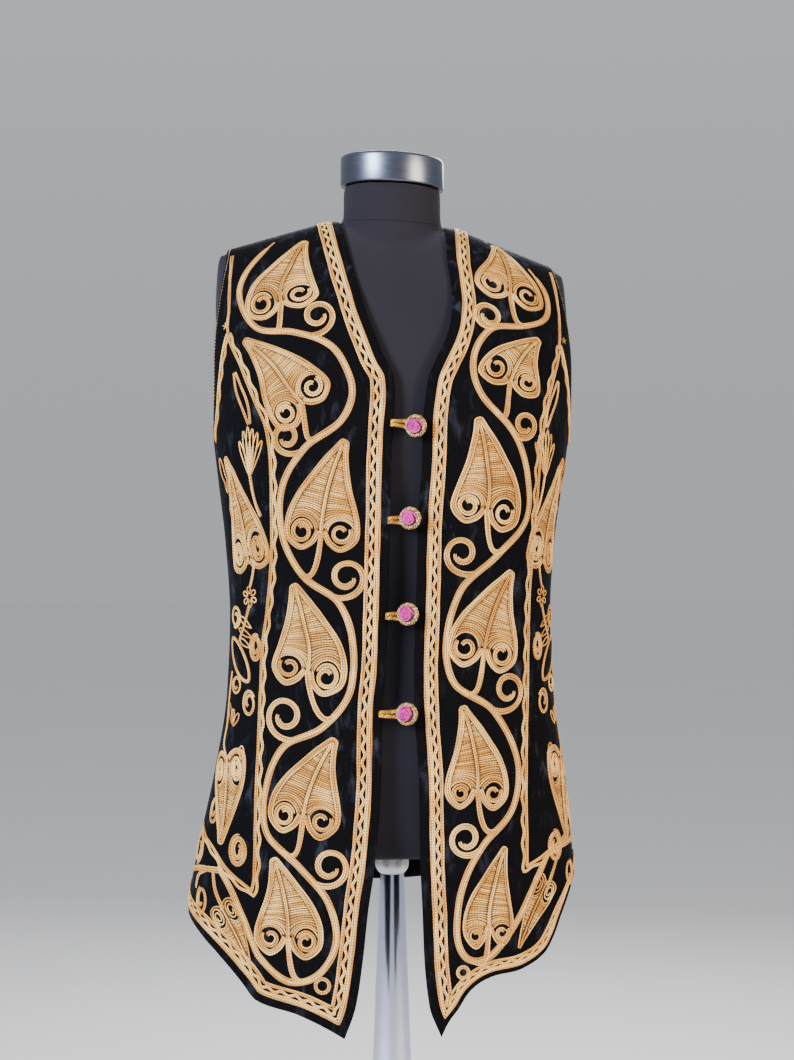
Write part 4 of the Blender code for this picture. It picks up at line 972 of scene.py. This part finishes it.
# The rest of the gold embroidery. A loop's outline: share along it, share of half its width
DROP = ((0, 0), (0.35, 0.75), (0.75, 0.95), (1.0, 0.0), (0.75, -0.95), (0.35, -0.75), (0, 0))
VINE_CORDS, VINE_PITCH, VINE_CORD, VINE_TAPER = 4, 1.78, 0.98, 14
BUD_SWELL, BUD_INSETS = 3.4, (0.3, 1.9)
HAND_LOOP, PETAL = 4.8, 5.0
OVAL_PITCH, OVAL_CORD = 1.75, 0.92
POCKET_GAP, POCKET_CORD = 2.4, 1.15
STITCH_INSET, STITCH_PITCH, STITCH_LENGTH = 3.2, 4.2, 2.0


def pocket_loop(length, width):
    reach, level, _, _, slope = WELT
    turn = math.radians(slope)
    along = np.array([math.cos(turn), math.sin(turn)])
    aside = np.array([along[1], -along[0]])
    turn = np.linspace(0, 2 * math.pi, 60, endpoint=False)
    a = 0.5 * length * np.cos(turn)
    b = 0.5 * width * power_of(np.sin(turn), 1.25)
    return np.array([reach, level]) + a[:, None] * along + b[:, None] * aside


def spokes(count, first):
    """Unit vectors spaced evenly round a turn."""
    angle = np.arange(count) * 2 * math.pi / count + first
    return np.stack([np.cos(angle), np.sin(angle)], axis=1)


def lay_line(bunch, face, path, side, phase=0.0):
    """The side line: two straight cords and two wavy ones beside them."""
    lay_ribbon(bunch, face, offset(path, -1.9), 2, side, pitch=1.85)
    lay_wave(bunch, face, offset(path, 2.3), side, 1.15, 24.0, 2, phase)


def lay_goldwork(front, side, gold, floor):
    table = TABLES[side]
    bunch, under = Bunch(), Bunch()
    vine, line, turn, branch = (smooth(table[key], 3.0) for key in ("vine", "line", "turn", "branch"))
    lay_ribbon(bunch, front, vine, VINE_CORDS, side, VINE_PITCH, VINE_CORD, VINE_TAPER)
    for row in table["hearts"]:
        lay_leaf(bunch, under, front, row, side)
        lay_ribbon(bunch, front, stem_path(row, vine), STEM_CORDS, side, pitch=1.85)
    for row in table["curls"]:
        lay_curl(bunch, front, row, vine, side)
    reach, level, radius = table["ring"]
    for inset in (1.1, 3.1):
        circle = spiral((reach, level), 0.0, ((0, 1), (1, 1)), radius - inset, 1)[:-1]
        lay_cord(bunch, front, circle, 1.0, REST, side, closed=True)
    split = int(np.argmin(np.linalg.norm(line - branch[0], axis=1)))
    lay_ribbon(bunch, front, line[:split + 1], 2, side)
    lay_line(bunch, front, np.vstack([line[split:], turn[1:]]), side)
    lay_line(bunch, front, branch, side, 1.0)
    knot = np.array(KNOT[:2], float)
    for spoke in spokes(5, 0.3):
        lay_cord(bunch, front, np.linspace(knot, knot + KNOT[2] * spoke, 4), 0.8, 1.6, side)
    lay_side(bunch, under, front, side)
    name = table["name"]
    bunch.make(f"cord_goldwork_{name}", gold, [f"goldwork_{name}"], "gold_cord")
    # The padding sheet under the leaves carries painted shade between the filling rows
    under.make(f"shade_padding_goldwork_{name}", floor, [f"goldwork_{name}"], "gold_cord")


def lay_side(bunch, under, front, side):
    """The spray down the side of one front and the motifs in its corner."""
    corner = TABLES[side]["corner"]
    for row in (*SIDE_HEARTS, corner["heart"]):
        lay_leaf(bunch, under, front, row, side, SIDE_STRETCH)
    for stem in (*SPRAY_STEMS, *corner["stems"]):
        lay_ribbon(bunch, front, smooth(stem, 3.0), 2, side, pitch=1.9)
    lay_ribbon(bunch, front, smooth(corner["line"], 3.0), 3, side)
    bud = smooth(BUD, 2.4)
    swell = BUD_SWELL * np.sin(np.linspace(0.0, math.pi, len(bud)))
    for hand in (-1, 1):
        for inset in BUD_INSETS:
            lay_cord(bunch, front, offset(bud, hand * (swell + inset)), 0.9, REST, side)
    for tip in HAND_TIPS:
        lay_loop(bunch, front, HAND_FOOT, tip, HAND_LOOP, side)
    middle, size = np.array(FLOWER[:2], float), FLOWER[2]
    for spoke in spokes(6, 0.4):
        lay_loop(bunch, front, middle + 0.5 * size * spoke, middle + 2 * size * spoke, PETAL, side)
    for row in SPRAY_LOOPS:
        lay_loop(bunch, front, row[:2], row[2:4], row[4], side)
    for reach, level, wide, high, start, turns, cords in (*SPRAY_OVALS, *corner["ovals"]):
        size = wide - cords * 0.85
        shares = ((0, 1), (0.7, 1), (turns, 0.3))
        path = spiral((reach, level), math.radians(start), shares, size, -1, high / wide)
        lay_band(bunch, front, path, cords, side, 1, OVAL_CORD, OVAL_PITCH)
    for inset in (1.2, 3.2):
        loop = pocket_loop(WELT[2] + POCKET_GAP + 2 * inset, WELT[3] + POCKET_GAP + 2 * inset)
        lay_cord(bunch, front, loop, POCKET_CORD, 0.9, side, closed=True)


def lay_stitches(face, sides, name, node_name, material):
    """Fine running stitches beside the armhole."""
    bunch = Bunch()
    for side in sides:
        line = offset(resample(armhole_line(face, side), STITCH_PITCH / 2), STITCH_INSET)
        for start, end in zip(line[1:-2:2], line[2:-1:2]):
            reach = 0.5 * STITCH_LENGTH * (end - start) / np.linalg.norm(end - start)
            middle = 0.5 * (start + end)
            lay_cord(bunch, face, np.linspace(middle - reach, middle + reach, 3), 0.34, 0.3, side)
    bunch.make(name, material, [node_name], "cream_thread")


# Buttons
# A shank starts this far above the cloth; then the cup's shape, its twisted rings and the rose
SHANK_START, SHANK_RADIUS, SHANK_SIDES = 1.9, 2.0, 12
CUP_SIDES, CUP_RIBS, CUP_RIB_DEPTH = 72, 14, 0.045
CUP_TWISTS, CUP_POINTS, CUP_CORD_SIDES = 17, 137, 6
ROSE_SIDES, ROSE_TURNS, ROSE_POINTS, ROSE_RADIUS = 40, 4.2, 230, 7.6
# Half the height of a loop's foot, and its two strands: distance from their middle, radius,
# points in a turn
LOOP_FOOT, STRAND_ASIDE, STRAND, STRAND_TURN = 1.7, 0.95, 1.25, 6.5


def circle(turn, across, over):
    """Vectors at the turns, on the circle from one way across to the other."""
    return np.cos(turn)[:, None] * across + np.sin(turn)[:, None] * over


def button_axes(front, level):
    place = edge_line(np.array([level], float), 1)[0] + (BUTTON_INSET, 0.0)
    foot, beside, above = front.lift([place, place - (1.0, 0.0), place + (0.0, 1.0)], 0.0)
    toward = (beside - foot) / np.linalg.norm(beside - foot)
    up = above - foot
    up -= toward * np.dot(up, toward)
    up /= np.linalg.norm(up)
    return foot, np.cross(up, toward), toward, up


def leaning(axes, number, tilt=None):
    """Axis of a button's shank, or of its cup if tilt is given, and the two ways across it."""
    _, out, toward, up = axes
    lean, rise = (math.radians(angle) for angle in BUTTON_LEANS[number - 1])
    if tilt is not None:
        lean, rise = math.radians(tilt), 0.4 * rise
    axis = math.cos(lean) * out + math.sin(lean) * toward
    axis = math.cos(rise) * axis + math.sin(rise) * up
    across = math.sin(lean) * out - math.cos(lean) * toward
    return axis, across, np.cross(axis, across)


def space_tube(bunch, route, radius, sides=8):
    """A cord through points in space."""
    route = np.asarray(route, float)
    way = np.gradient(route, axis=0)
    way /= np.linalg.norm(way, axis=1, keepdims=True) + 1e-9
    across = np.cross(way[0], (0.31, 0.52, 0.79))
    turn = np.arange(sides) * 2 * math.pi / sides
    rings = []
    for point, ahead, size in zip(route, way, np.broadcast_to(radius, len(route))):
        across = across - ahead * np.dot(across, ahead)
        across /= np.linalg.norm(across)
        rings.append(point + size * circle(turn, across, np.cross(ahead, across)))
    bunch.add_cord(rings, lengths(route) * MM)


def turned_piece(bunch, profile, origin, ways, sides, ribs=0, depth=0.0):
    """A turned solid with optional ribs; profile rows are distance and radius."""
    axis, across, over = ways
    turn = np.arange(sides) * 2 * math.pi / sides
    shape = (1.0 + depth * np.cos(ribs * turn))[:, None] * circle(turn, across, over)
    rings = [origin + distance * axis + radius * shape for distance, radius in profile]
    faces, corners = tube_faces(len(profile), sides)
    uvs = []
    for r, k in corners:
        low, high = k / sides, (k + 1) / sides
        near, far = profile[r][0] * MM, profile[r + 1][0] * MM
        uvs += [(low, near), (high, near), (high, far), (low, far)]
    uvs += [(0.5, 0.0)] * (2 * sides)
    bunch.add(np.vstack(rings), faces, uvs)


def make_cup(number, start, foot, ways, material):
    """A ribbed cup on its shank, with twisted cords round it."""
    axis, across, over = ways
    cup = Bunch()
    space_tube(cup, np.linspace(start, foot + 0.8 * axis, 8), SHANK_RADIUS, SHANK_SIDES)
    turned_piece(cup, resample(CUP_PROFILE, 0.8), foot, ways, CUP_SIDES, CUP_RIBS, CUP_RIB_DEPTH)
    turn = np.linspace(0.0, 2 * math.pi, CUP_POINTS)
    outward = circle(turn, across, over)
    for distance, radius in CUP_RINGS:
        ring = foot + distance * axis + radius * outward
        for strand in (0.0, math.pi):
            twist = circle(CUP_TWISTS * turn + strand, outward, axis)
            space_tube(cup, ring + CUP_TWIST * twist, CUP_CORD, CUP_CORD_SIDES)
    cup.make(f"thread_cup_{number}", material, [f"button_cup_{number}"], "cream_thread")


def make_rose(number, foot, ways, material):
    """A rose of one thicker thread wound inwards over a padded core."""
    axis, across, over = ways
    rose = Bunch()
    turned_piece(rose, resample(ROSE_PROFILE, 0.8), foot, ways, ROSE_SIDES)
    share = np.linspace(0.0, 1.0, ROSE_POINTS)
    turn = share * ROSE_TURNS * 2 * math.pi
    ripple = 1.0 + 0.12 * np.sin(turn * 2.3 + number) * (1 - share)
    radius = ROSE_RADIUS * (1 - 0.93 * share**0.85) * ripple
    rise = 8.0 + 4.8 * np.sqrt(np.clip(1 - (radius / 8.6) ** 2, 0.0, 1.0)) + 0.5 * np.sin(turn * 4)
    swirl = foot + rise[:, None] * axis + radius[:, None] * circle(turn, across, over)
    space_tube(rose, swirl, 1.15 - 0.3 * share)
    rose.make(f"thread_rose_{number}", material, [f"button_rose_{number}"], "magenta_thread")


def make_button(front, number, level, materials):
    axes = button_axes(front, level)
    shank = leaning(axes, number)[0]
    ways = leaning(axes, number, CUP_LEAN)
    foot = axes[0] + SHANK * shank
    make_cup(number, axes[0] + SHANK_START * shank, foot, ways, materials["cream"])
    make_rose(number, foot, ways, materials["magenta"])
    make_loop(front, number, level, axes, materials["yellow"])


def make_loop(front, number, level, axes, material):
    """The twisted loop from the other front's edge round the button's neck."""
    foot, out, toward, up = axes
    lean, rise = (math.radians(angle) for angle in BUTTON_LEANS[number - 1])
    middle = foot + LOOP_HEIGHT * out + LOOP_HEIGHT * math.tan(lean) * toward
    middle = middle + LOOP_HEIGHT * math.tan(rise) / math.cos(lean) * up
    edge = edge_line(np.array([level], float), -1)[0] * (-1, 1)
    sewn = edge - (LOOP_OVERLAP, 0.0)
    turns = np.linspace(0.5 * math.pi, -0.5 * math.pi, 9)
    bend = [middle + LOOP_RADIUS * (math.sin(t) * up - math.cos(t) * toward) for t in turns]
    aside = np.array((0.0, LOOP_FOOT))
    high = front.lift([sewn + aside, edge + aside], LOOP_CORD + 0.6)
    low = front.lift([edge - aside, sewn - aside], LOOP_CORD + 0.6)
    route = smooth(np.vstack([high, bend, low]), 0.8)
    way = np.gradient(route, axis=0)
    way /= np.linalg.norm(way, axis=1, keepdims=True)
    across = np.cross(way, out)
    across /= np.linalg.norm(across, axis=1, keepdims=True)
    turn = np.arange(len(route)) * 2 * math.pi / STRAND_TURN
    bunch = Bunch()
    for strand in (0.0, math.pi):
        twist = circle(turn + strand, across, np.cross(across, way))
        space_tube(bunch, route + STRAND_ASIDE * twist, STRAND)
    bunch.make(f"cord_loop_{number}", material, [f"button_loop_{number}"], "gold_cord")


# Dress form and stand
FORM_SIDES = 96
# Rows of SECTIONS that the form's shoulders take over, and the skin drawn over form and neck
SHOULDER_ROWS = (12, 13, 14, 15)
SKIN_VOXEL, SKIN_RELAXED = 0.0035, 10


def oval_ring(z, half, front, back, power, fall):
    angle = np.arange(FORM_SIDES) * 2 * math.pi / FORM_SIDES
    x = half * power_of(np.sin(angle), 2 / power)
    depth = np.where(np.cos(angle) > 0, front, back)
    y = -depth * power_of(np.cos(angle), 2 / power)
    return np.stack([x, y, settle(x, z, fall)], axis=1)


def round_rings(profile, lean):
    """Rings of a turned piece; profile rows are height and radius."""
    turn = np.arange(FORM_SIDES) * 2 * math.pi / FORM_SIDES
    rings = []
    for z, radius in profile:
        x, y = radius * np.cos(turn), radius * np.sin(turn)
        height = settle(x, z, 0.0) if lean else np.full(FORM_SIDES, float(z))
        rings.append(np.stack([x, y, height], axis=1))
    return rings


def form_rows():
    """Rows of the form from its bottom to the shoulder ridge."""
    rows = [tuple(row) for row in FORM]
    for index in SHOULDER_ROWS:
        z, right, left, front, back, power, fall = SECTIONS[index]
        half = min(right, left) - FORM_NARROWER
        rows.append((z - SEAT_DROP, half, front - SEAT_DROP, back - SEAT_DROP, power, fall))
    z, right, left, _, _, power, fall = SECTIONS[-1]
    half = min(right, left) - FORM_NARROWER
    rows.append((z - SEAT_DROP, half, FORM_RIDGE, FORM_RIDGE, power, fall))
    return np.array(rows)


def make_form(material):
    """Body and neck under one skin."""
    rows = form_rows()
    marks = rows[:, 0]
    steps = [np.linspace(low, high, 5)[:-1] for low, high in zip(marks, marks[1:])]
    heights = np.concatenate([*steps, marks[-1:]])
    fine = np.stack([monotone(rows[:, 0], rows[:, k], heights) for k in range(6)], axis=1)
    body = Bunch()
    body.add_plain([oval_ring(*row) for row in fine])
    body.add_plain(round_rings(resample(NECK, 5.0), True))
    item = body.make("jersey_body", material, ["form_body"], "jersey")
    remesh = item.modifiers.new("skin", "REMESH")
    remesh.mode = "VOXEL"
    remesh.voxel_size = SKIN_VOXEL
    remesh.use_smooth_shade = True
    relax = item.modifiers.new("relax", "SMOOTH")
    relax.factor = 0.5
    relax.iterations = SKIN_RELAXED
    view = bpy.context.evaluated_depsgraph_get()
    made = bpy.data.meshes.new_from_object(item.evaluated_get(view))
    item.modifiers.clear()
    item.data = made
    made.materials.clear()
    made.materials.append(material)
    made.shade_smooth()


def make_neck_seam(material):
    """The jersey's raised seam round the base of the neck."""
    bunch = Bunch()
    turn = np.linspace(0.0, 2 * math.pi, 97)
    x, y = NECK_SEAM[1] * np.cos(turn), NECK_SEAM[1] * np.sin(turn)
    height = settle(x, NECK_SEAM[0], 0.0) + 2.0 * (x / NECK_SEAM[1]) ** 2
    space_tube(bunch, np.stack([x, y, height], axis=1), 0.8)
    bunch.make("jersey_neck_seam", material, ["form_body"], "jersey")


def make_turned(name, profile, material, node_name, slot, lean=False):
    bunch = Bunch()
    bunch.add_plain(round_rings(profile, lean))
    bunch.make(name, material, [node_name], slot, smooth_angle=38.0)


def make_stand(materials):
    make_form(materials["jersey"])
    make_neck_seam(materials["jersey"])
    make_turned("metal_cap", CAP, materials["gunmetal"], "neck_cap", "gunmetal", lean=True)
    make_turned("chrome_collar", COLLAR, materials["satin"], "pole_collar", "chrome")
    foot = PLATE_HEIGHT + JOIN
    foot_radius = POLE_TOP_RADIUS + POLE_SPREAD * (POLE_TOP - foot)
    pole = resample([(foot, foot_radius), (POLE_TOP, POLE_TOP_RADIUS)], 40.0)
    make_turned("chrome_pole", pole, materials["chrome"], "pole", "chrome")
    rim = ((0, PLATE_RADIUS - 1.0), (0.3, PLATE_RADIUS - 0.3), (1.0, PLATE_RADIUS),
           (PLATE_HEIGHT - 2.0, PLATE_RADIUS), (PLATE_HEIGHT - 0.9, PLATE_RADIUS - 0.4),
           (PLATE_HEIGHT - 0.2, PLATE_RADIUS - 1.2), (PLATE_HEIGHT, PLATE_RADIUS - 2.2))
    make_turned("chrome_foot", rim, materials["chrome"], "base_plate", "chrome")


# Materials
def node(tree, kind, inputs=None, **settings):
    made = tree.nodes.new("ShaderNode" + kind)
    for key, value in settings.items():
        setattr(made, key, value)
    for key, value in (inputs or {}).items():
        if isinstance(value, bpy.types.NodeSocket):
            tree.links.new(value, made.inputs[key])
        else:
            made.inputs[key].default_value = value
    return made


def calc(tree, operation, first, second=0.0):
    return node(tree, "Math", {0: first, 1: second}, operation=operation).outputs[0]


def blend_color(tree, factor, first, second, kind="MIX"):
    return node(tree, "Mix", {0: factor, 6: first, 7: second}, data_type="RGBA",
                blend_type=kind).outputs[2]


def noise(tree, place, scale, detail=3.0, distortion=0.0, rough=0.5):
    return node(tree, "TexNoise", {"Vector": place, "Scale": scale, "Detail": detail,
                                   "Distortion": distortion, "Roughness": rough}).outputs[0]


def ramp(tree, value, low, high):
    made = node(tree, "MapRange", {"Value": value, "From Min": low, "From Max": high})
    made.interpolation_type = "SMOOTHSTEP"
    return made.outputs[0]


def start_material(name, **sockets):
    material = bpy.data.materials.new(name)
    material.use_nodes = True
    tree = material.node_tree
    shader = tree.nodes["Principled BSDF"]
    for key, value in sockets.items():
        shader.inputs[key.replace("_", " ")].default_value = value
    place = node(tree, "TexCoord").outputs["Object"]
    return material, tree, shader, place


def spread(tree, value, low, high):
    return node(tree, "MapRange", {"Value": value, "To Min": low, "To Max": high}).outputs[0]


def paint(tree, shader, color, rough):
    tree.links.new(color, shader.inputs["Base Color"])
    tree.links.new(rough, shader.inputs["Roughness"])


def bump(tree, shader, height, distance, strength=1.0, under=None):
    inputs = {"Height": height, "Distance": distance, "Strength": strength}
    if under is not None:
        inputs["Normal"] = under
    made = node(tree, "Bump", inputs)
    tree.links.new(made.outputs[0], shader.inputs["Normal"])
    return made.outputs[0]


def velvet_material():
    material, tree, shader, place = start_material(
        "crushed_velvet", Sheen_Weight=0.05, Sheen_Roughness=0.32, Sheen_Tint=(0.55, 0.58, 0.85, 1),
        Specular_IOR_Level=0.06)
    stretched = node(tree, "Mapping", {"Vector": place, "Scale": (1.0, 1.0, 0.45)}).outputs[0]
    patches = noise(tree, stretched, 78.0, 3.0, 0.45, 0.6)
    # Painted sheen: patches of crushed pile, where light would glint, are blended from black to a
    # lighter navy in the base colour
    painted_sheen_mask = ramp(tree, patches, 0.50, 0.80)
    broad = noise(tree, place, 11.0, 2.0, 0.4)
    painted_sheen_mask = calc(tree, "MULTIPLY", painted_sheen_mask, ramp(tree, broad, 0.34, 0.70))
    pile = noise(tree, place, 900.0, 1.0)
    # The lighter navy is painted sheen of the crushed patches
    color = blend_color(tree, painted_sheen_mask, (0.0010, 0.0010, 0.0017, 1), (0.021, 0.024, 0.042, 1))
    color = blend_color(tree, ramp(tree, pile, 0.35, 0.75), color, (0.0010, 0.0010, 0.0018, 1), "ADD")
    paint(tree, shader, color, spread(tree, painted_sheen_mask, 0.88, 0.6))
    soft = bump(tree, shader, patches, 0.0018, 0.8)
    bump(tree, shader, pile, 0.00025, 0.5, soft)
    return material


# Length of one turn of the thread's twist, in metres
THREAD_TURN = 0.0030


def cord_material(name, light, mid, dark, painted_shade_color, **sockets):
    """Twisted thread: stripes along the cord, tone by cord, and painted shade in the twist's grooves
    and on each cord's sides between cords.
    """
    material, tree, shader, place = start_material(name, **sockets)
    uv = node(tree, "SeparateXYZ", {0: node(tree, "UVMap").outputs[0]})
    along, round_ = uv.outputs[0], uv.outputs[1]
    turn = calc(tree, "ADD", calc(tree, "MULTIPLY", along, 2 * math.pi / THREAD_TURN),
                calc(tree, "MULTIPLY", round_, 2 * math.pi))
    twist = calc(tree, "MULTIPLY_ADD", calc(tree, "SINE", turn), 0.5)
    twist.node.inputs[2].default_value = 0.5
    which = calc(tree, "FLOOR", round_)
    tone = node(tree, "TexWhiteNoise", {"W": which}, noise_dimensions="1D").outputs[0]
    drift = noise(tree, place, 38.0, 3.0, 0.3)
    share = calc(tree, "ADD", calc(tree, "MULTIPLY", tone, 0.35), calc(tree, "MULTIPLY", drift, 0.75))
    color = blend_color(tree, ramp(tree, share, 0.28, 0.78), dark, mid)
    shine = calc(tree, "MULTIPLY", ramp(tree, share, 0.42, 0.82), 0.95)
    color = blend_color(tree, shine, color, light)
    # Painted shade: the twist's grooves are mixed towards the dark shade colour
    color = blend_color(tree, calc(tree, "MULTIPLY", calc(tree, "SUBTRACT", 1.0, twist), 0.46),
                        color, painted_shade_color)
    # Painted shade: each cord is darker towards its sides, where it meets the cloth and the next cord
    across = calc(tree, "ABSOLUTE", calc(tree, "SUBTRACT", calc(tree, "FRACT", round_), TOP_TURN))
    low = calc(tree, "MULTIPLY", ramp(tree, across, 0.07, 0.33), 0.92)
    color = blend_color(tree, low, color, painted_shade_color)
    fibre = noise(tree, place, 1500.0, 2.0)
    paint(tree, shader, color, spread(tree, fibre, 0.38, 0.66))
    coarse = bump(tree, shader, twist, 0.00035, 0.8)
    bump(tree, shader, fibre, 0.0001, 0.5, coarse)
    return material


def shade_padding_material():
    # Padding under the filling, coloured dark brown as painted shade that shows between the filling
    # rows
    material, tree, shader, place = start_material("padding_thread_painted_shade", Specular_IOR_Level=0.15)
    grain = noise(tree, place, 420.0, 3.0)
    color = blend_color(tree, grain, (0.045, 0.018, 0.005, 1), (0.20, 0.085, 0.024, 1))
    paint(tree, shader, color, ramp(tree, grain, -0.6, 1.2))
    bump(tree, shader, grain, 0.0003, 0.7)
    return material


def jersey_material():
    material, tree, shader, place = start_material(
        "black_jersey", Sheen_Weight=0.09, Sheen_Roughness=0.5, Sheen_Tint=(0.6, 0.6, 0.8, 1),
        Specular_IOR_Level=0.2)
    knit = node(tree, "TexWave", {"Vector": place, "Scale": 420.0, "Distortion": 0.6},
                bands_direction="Z").outputs[1]
    cloud = noise(tree, place, 14.0, 3.0, 0.5)
    color = blend_color(tree, cloud, (0.0060, 0.0055, 0.0095, 1), (0.0125, 0.0112, 0.0195, 1))
    paint(tree, shader, color, spread(tree, cloud, 0.78, 0.95))
    bump(tree, shader, knit, 0.0002, 0.35)
    return material


def metal_material(name, dark, light, smooth_low, smooth_high, grain_scale):
    material, tree, shader, place = start_material(name, Metallic=1.0)
    brushed = node(tree, "Mapping", {"Vector": place, "Scale": grain_scale}).outputs[0]
    grain = noise(tree, brushed, 60.0, 4.0, 0.2)
    color = blend_color(tree, grain, dark, light)
    paint(tree, shader, color, spread(tree, grain, smooth_low, smooth_high))
    bump(tree, shader, grain, 0.00003, 0.3)
    return material


def make_materials():
    return {
        "velvet": velvet_material(),
        # Each thread's fourth colour is the painted shade of its twist's grooves and its sides between
        # cords
        "gold": cord_material("gold_cord_thread", (1.0, 0.66, 0.235, 1), (0.82, 0.43, 0.088, 1),
                              (0.54, 0.24, 0.034, 1), (0.090, 0.030, 0.003, 1),
                              Metallic=0.12, Specular_IOR_Level=0.45),
        "yellow": cord_material("yellow_loop_thread", (1.0, 0.74, 0.16, 1), (0.92, 0.52, 0.045, 1),
                                (0.70, 0.33, 0.015, 1), (0.26, 0.10, 0.004, 1),
                                Metallic=0.1, Specular_IOR_Level=0.5),
        "cream": cord_material("cream_cup_thread", (0.95, 0.80, 0.46, 1), (0.82, 0.55, 0.19, 1),
                               (0.62, 0.36, 0.08, 1), (0.14, 0.06, 0.01, 1),
                               Metallic=0.1, Specular_IOR_Level=0.5),
        "magenta": cord_material("magenta_rose_thread", (1.0, 0.07, 0.74, 1), (0.80, 0.0, 0.46, 1),
                                 (0.44, 0.0, 0.22, 1), (0.10, 0.0, 0.05, 1),
                                 Sheen_Weight=0.04, Sheen_Tint=(1.0, 0.6, 0.9, 1)),
        "shade_padding": shade_padding_material(),
        "jersey": jersey_material(),
        "gunmetal": metal_material("gunmetal_cap", (0.085, 0.100, 0.135, 1),
                                   (0.135, 0.158, 0.215, 1), 0.27, 0.38, (1.0, 1.0, 9.0)),
        "chrome": metal_material("chrome_tube", (0.56, 0.60, 0.80, 1), (0.70, 0.74, 0.94, 1),
                                 0.15, 0.24, (1.0, 1.0, 0.02)),
        "satin": metal_material("satin_collar", (0.55, 0.56, 0.60, 1), (0.66, 0.67, 0.70, 1),
                                0.46, 0.58, (1.0, 1.0, 1.0)),
    }


# Velvet panels
PANEL_STEP = 6.5
# The pile stands this far out; a rounded edge has a rim and the heights of its two faces
PILE, PANEL_RIM, PANEL_EDGE = 0.25, 1.3, (-0.55, -1.35)
WELT_STEP, WELT_LOW, WELT_HIGH, WELT_RIM, WELT_EDGE = 3.0, 0.4, 2.0, 1.0, (1.0, 0.5)


def make_panel(name, face, outline, node_name, material):
    bunch = Bunch()
    area = lay_sheet(bunch, face, outline, [], PANEL_STEP, -WALL, PILE, PANEL_RIM, PANEL_EDGE)
    item = bunch.make(name, material, [node_name], "velvet", smooth_angle=75.0)


def make_welt(front, side, material):
    name = TABLES[side]["name"]
    bunch = Bunch()
    loop = pocket_loop(WELT[2], WELT[3]) * (side, 1)
    lay_sheet(bunch, front, loop, [], WELT_STEP, WELT_LOW, WELT_HIGH, WELT_RIM, WELT_EDGE)
    bunch.make(f"velvet_welt_{name}", material, [f"pocket_welt_{name}"], "velvet")


def make_vest(materials):
    front, back = Face(-1), Face(1)
    for side in (-1, 1):
        name = TABLES[side]["name"]
        make_panel(f"velvet_front_{name}", front, front_outline(front, side),
                   f"vest_front_{name}", materials["velvet"])
        lay_border(front, side, materials["gold"])
        lay_goldwork(front, side, materials["gold"], materials["shade_padding"])
        make_welt(front, side, materials["velvet"])
        lay_stitches(front, (side,), f"thread_stitches_{name}", f"vest_front_{name}",
                     materials["cream"])
    make_panel("velvet_back", back, back_outline(back), "vest_back", materials["velvet"])
    lay_back_borders(back, materials["gold"])
    lay_stitches(back, (-1, 1), "thread_stitches_back", "vest_back", materials["cream"])
    for number, level in enumerate(BUTTON_LEVELS, start=1):
        make_button(front, number, level, materials)


# Floor, light and camera
def make_floor():
    material, tree, shader, place = start_material("pale_floor", Specular_IOR_Level=0.2)
    cloud = noise(tree, place, 1.5, 4.0)
    color = blend_color(tree, cloud, (0.66, 0.66, 0.67, 1), (0.70, 0.70, 0.70, 1))
    paint(tree, shader, color, ramp(tree, cloud, -1.5, 1.2))
    mesh = bpy.data.meshes.new("floor")
    size = 30.0
    mesh.from_pydata([(-size, -size, 0), (size, -size, 0), (size, size, 0), (-size, size, 0)], [],
                     [(0, 1, 2, 3)])
    mesh.materials.append(material)
    floor = bpy.data.objects.new("floor", mesh)
    bpy.context.scene.collection.objects.link(floor)


def make_light(name, place, aim, size, power, color):
    data = bpy.data.lights.new(name, "AREA")
    data.shape = "DISK"
    data.size = size
    data.energy = power
    data.color = color
    light = bpy.data.objects.new(name, data)
    light.location = place
    light.rotation_euler = (Vector(aim) - Vector(place)).to_track_quat("-Z", "Y").to_euler()
    bpy.context.scene.collection.objects.link(light)


SKY, HORIZON = (0.86, 0.89, 0.94, 1.0), (0.62, 0.63, 0.65, 1.0)


def make_world():
    """A pale sky that is darker towards the horizon."""
    world = bpy.data.worlds.new("studio")
    bpy.context.scene.world = world
    world.use_nodes = True
    tree = world.node_tree
    height = node(tree, "SeparateXYZ", {0: node(tree, "TexCoord").outputs["Generated"]}).outputs[2]
    color = blend_color(tree, ramp(tree, height, 0.02, 0.55), HORIZON, SKY)
    tree.links.new(color, tree.nodes["Background"].inputs["Color"])
    tree.nodes["Background"].inputs["Strength"].default_value = 0.72


CAMERA_YAW = math.radians(-5.0)
CAMERA_DISTANCE, CAMERA_ASIDE, CAMERA_HEIGHT = 2.103, 0.0053, 1.150
CAMERA_LENS = 67.35


def make_camera():
    data = bpy.data.cameras.new("camera")
    data.sensor_width = 36.0
    data.lens = CAMERA_LENS
    camera = bpy.data.objects.new("camera", data)
    back = Vector((math.sin(CAMERA_YAW), -math.cos(CAMERA_YAW), 0.0))
    right = Vector((math.cos(CAMERA_YAW), math.sin(CAMERA_YAW), 0.0))
    camera.location = CAMERA_DISTANCE * back + CAMERA_ASIDE * right + Vector((0, 0, CAMERA_HEIGHT))
    camera.rotation_euler = (-back).to_track_quat("-Z", "Y").to_euler()
    bpy.context.scene.collection.objects.link(camera)
    bpy.context.scene.camera = camera


make_camera()
make_world()
make_floor()
make_light("key", (-2.6, -2.4, 2.3), (0.0, 0.0, 1.15), 1.3, 300.0, (0.94, 0.97, 1.0))
make_light("fill", (2.6, -2.2, 1.7), (0.0, 0.0, 1.1), 1.5, 165.0, (1.0, 0.79, 0.55))
make_light("rim", (0.6, 2.6, 2.6), (0.0, 0.0, 1.2), 1.6, 110.0, (0.95, 0.97, 1.0))
MATERIALS = make_materials()
make_vest(MATERIALS)
make_stand(MATERIALS)
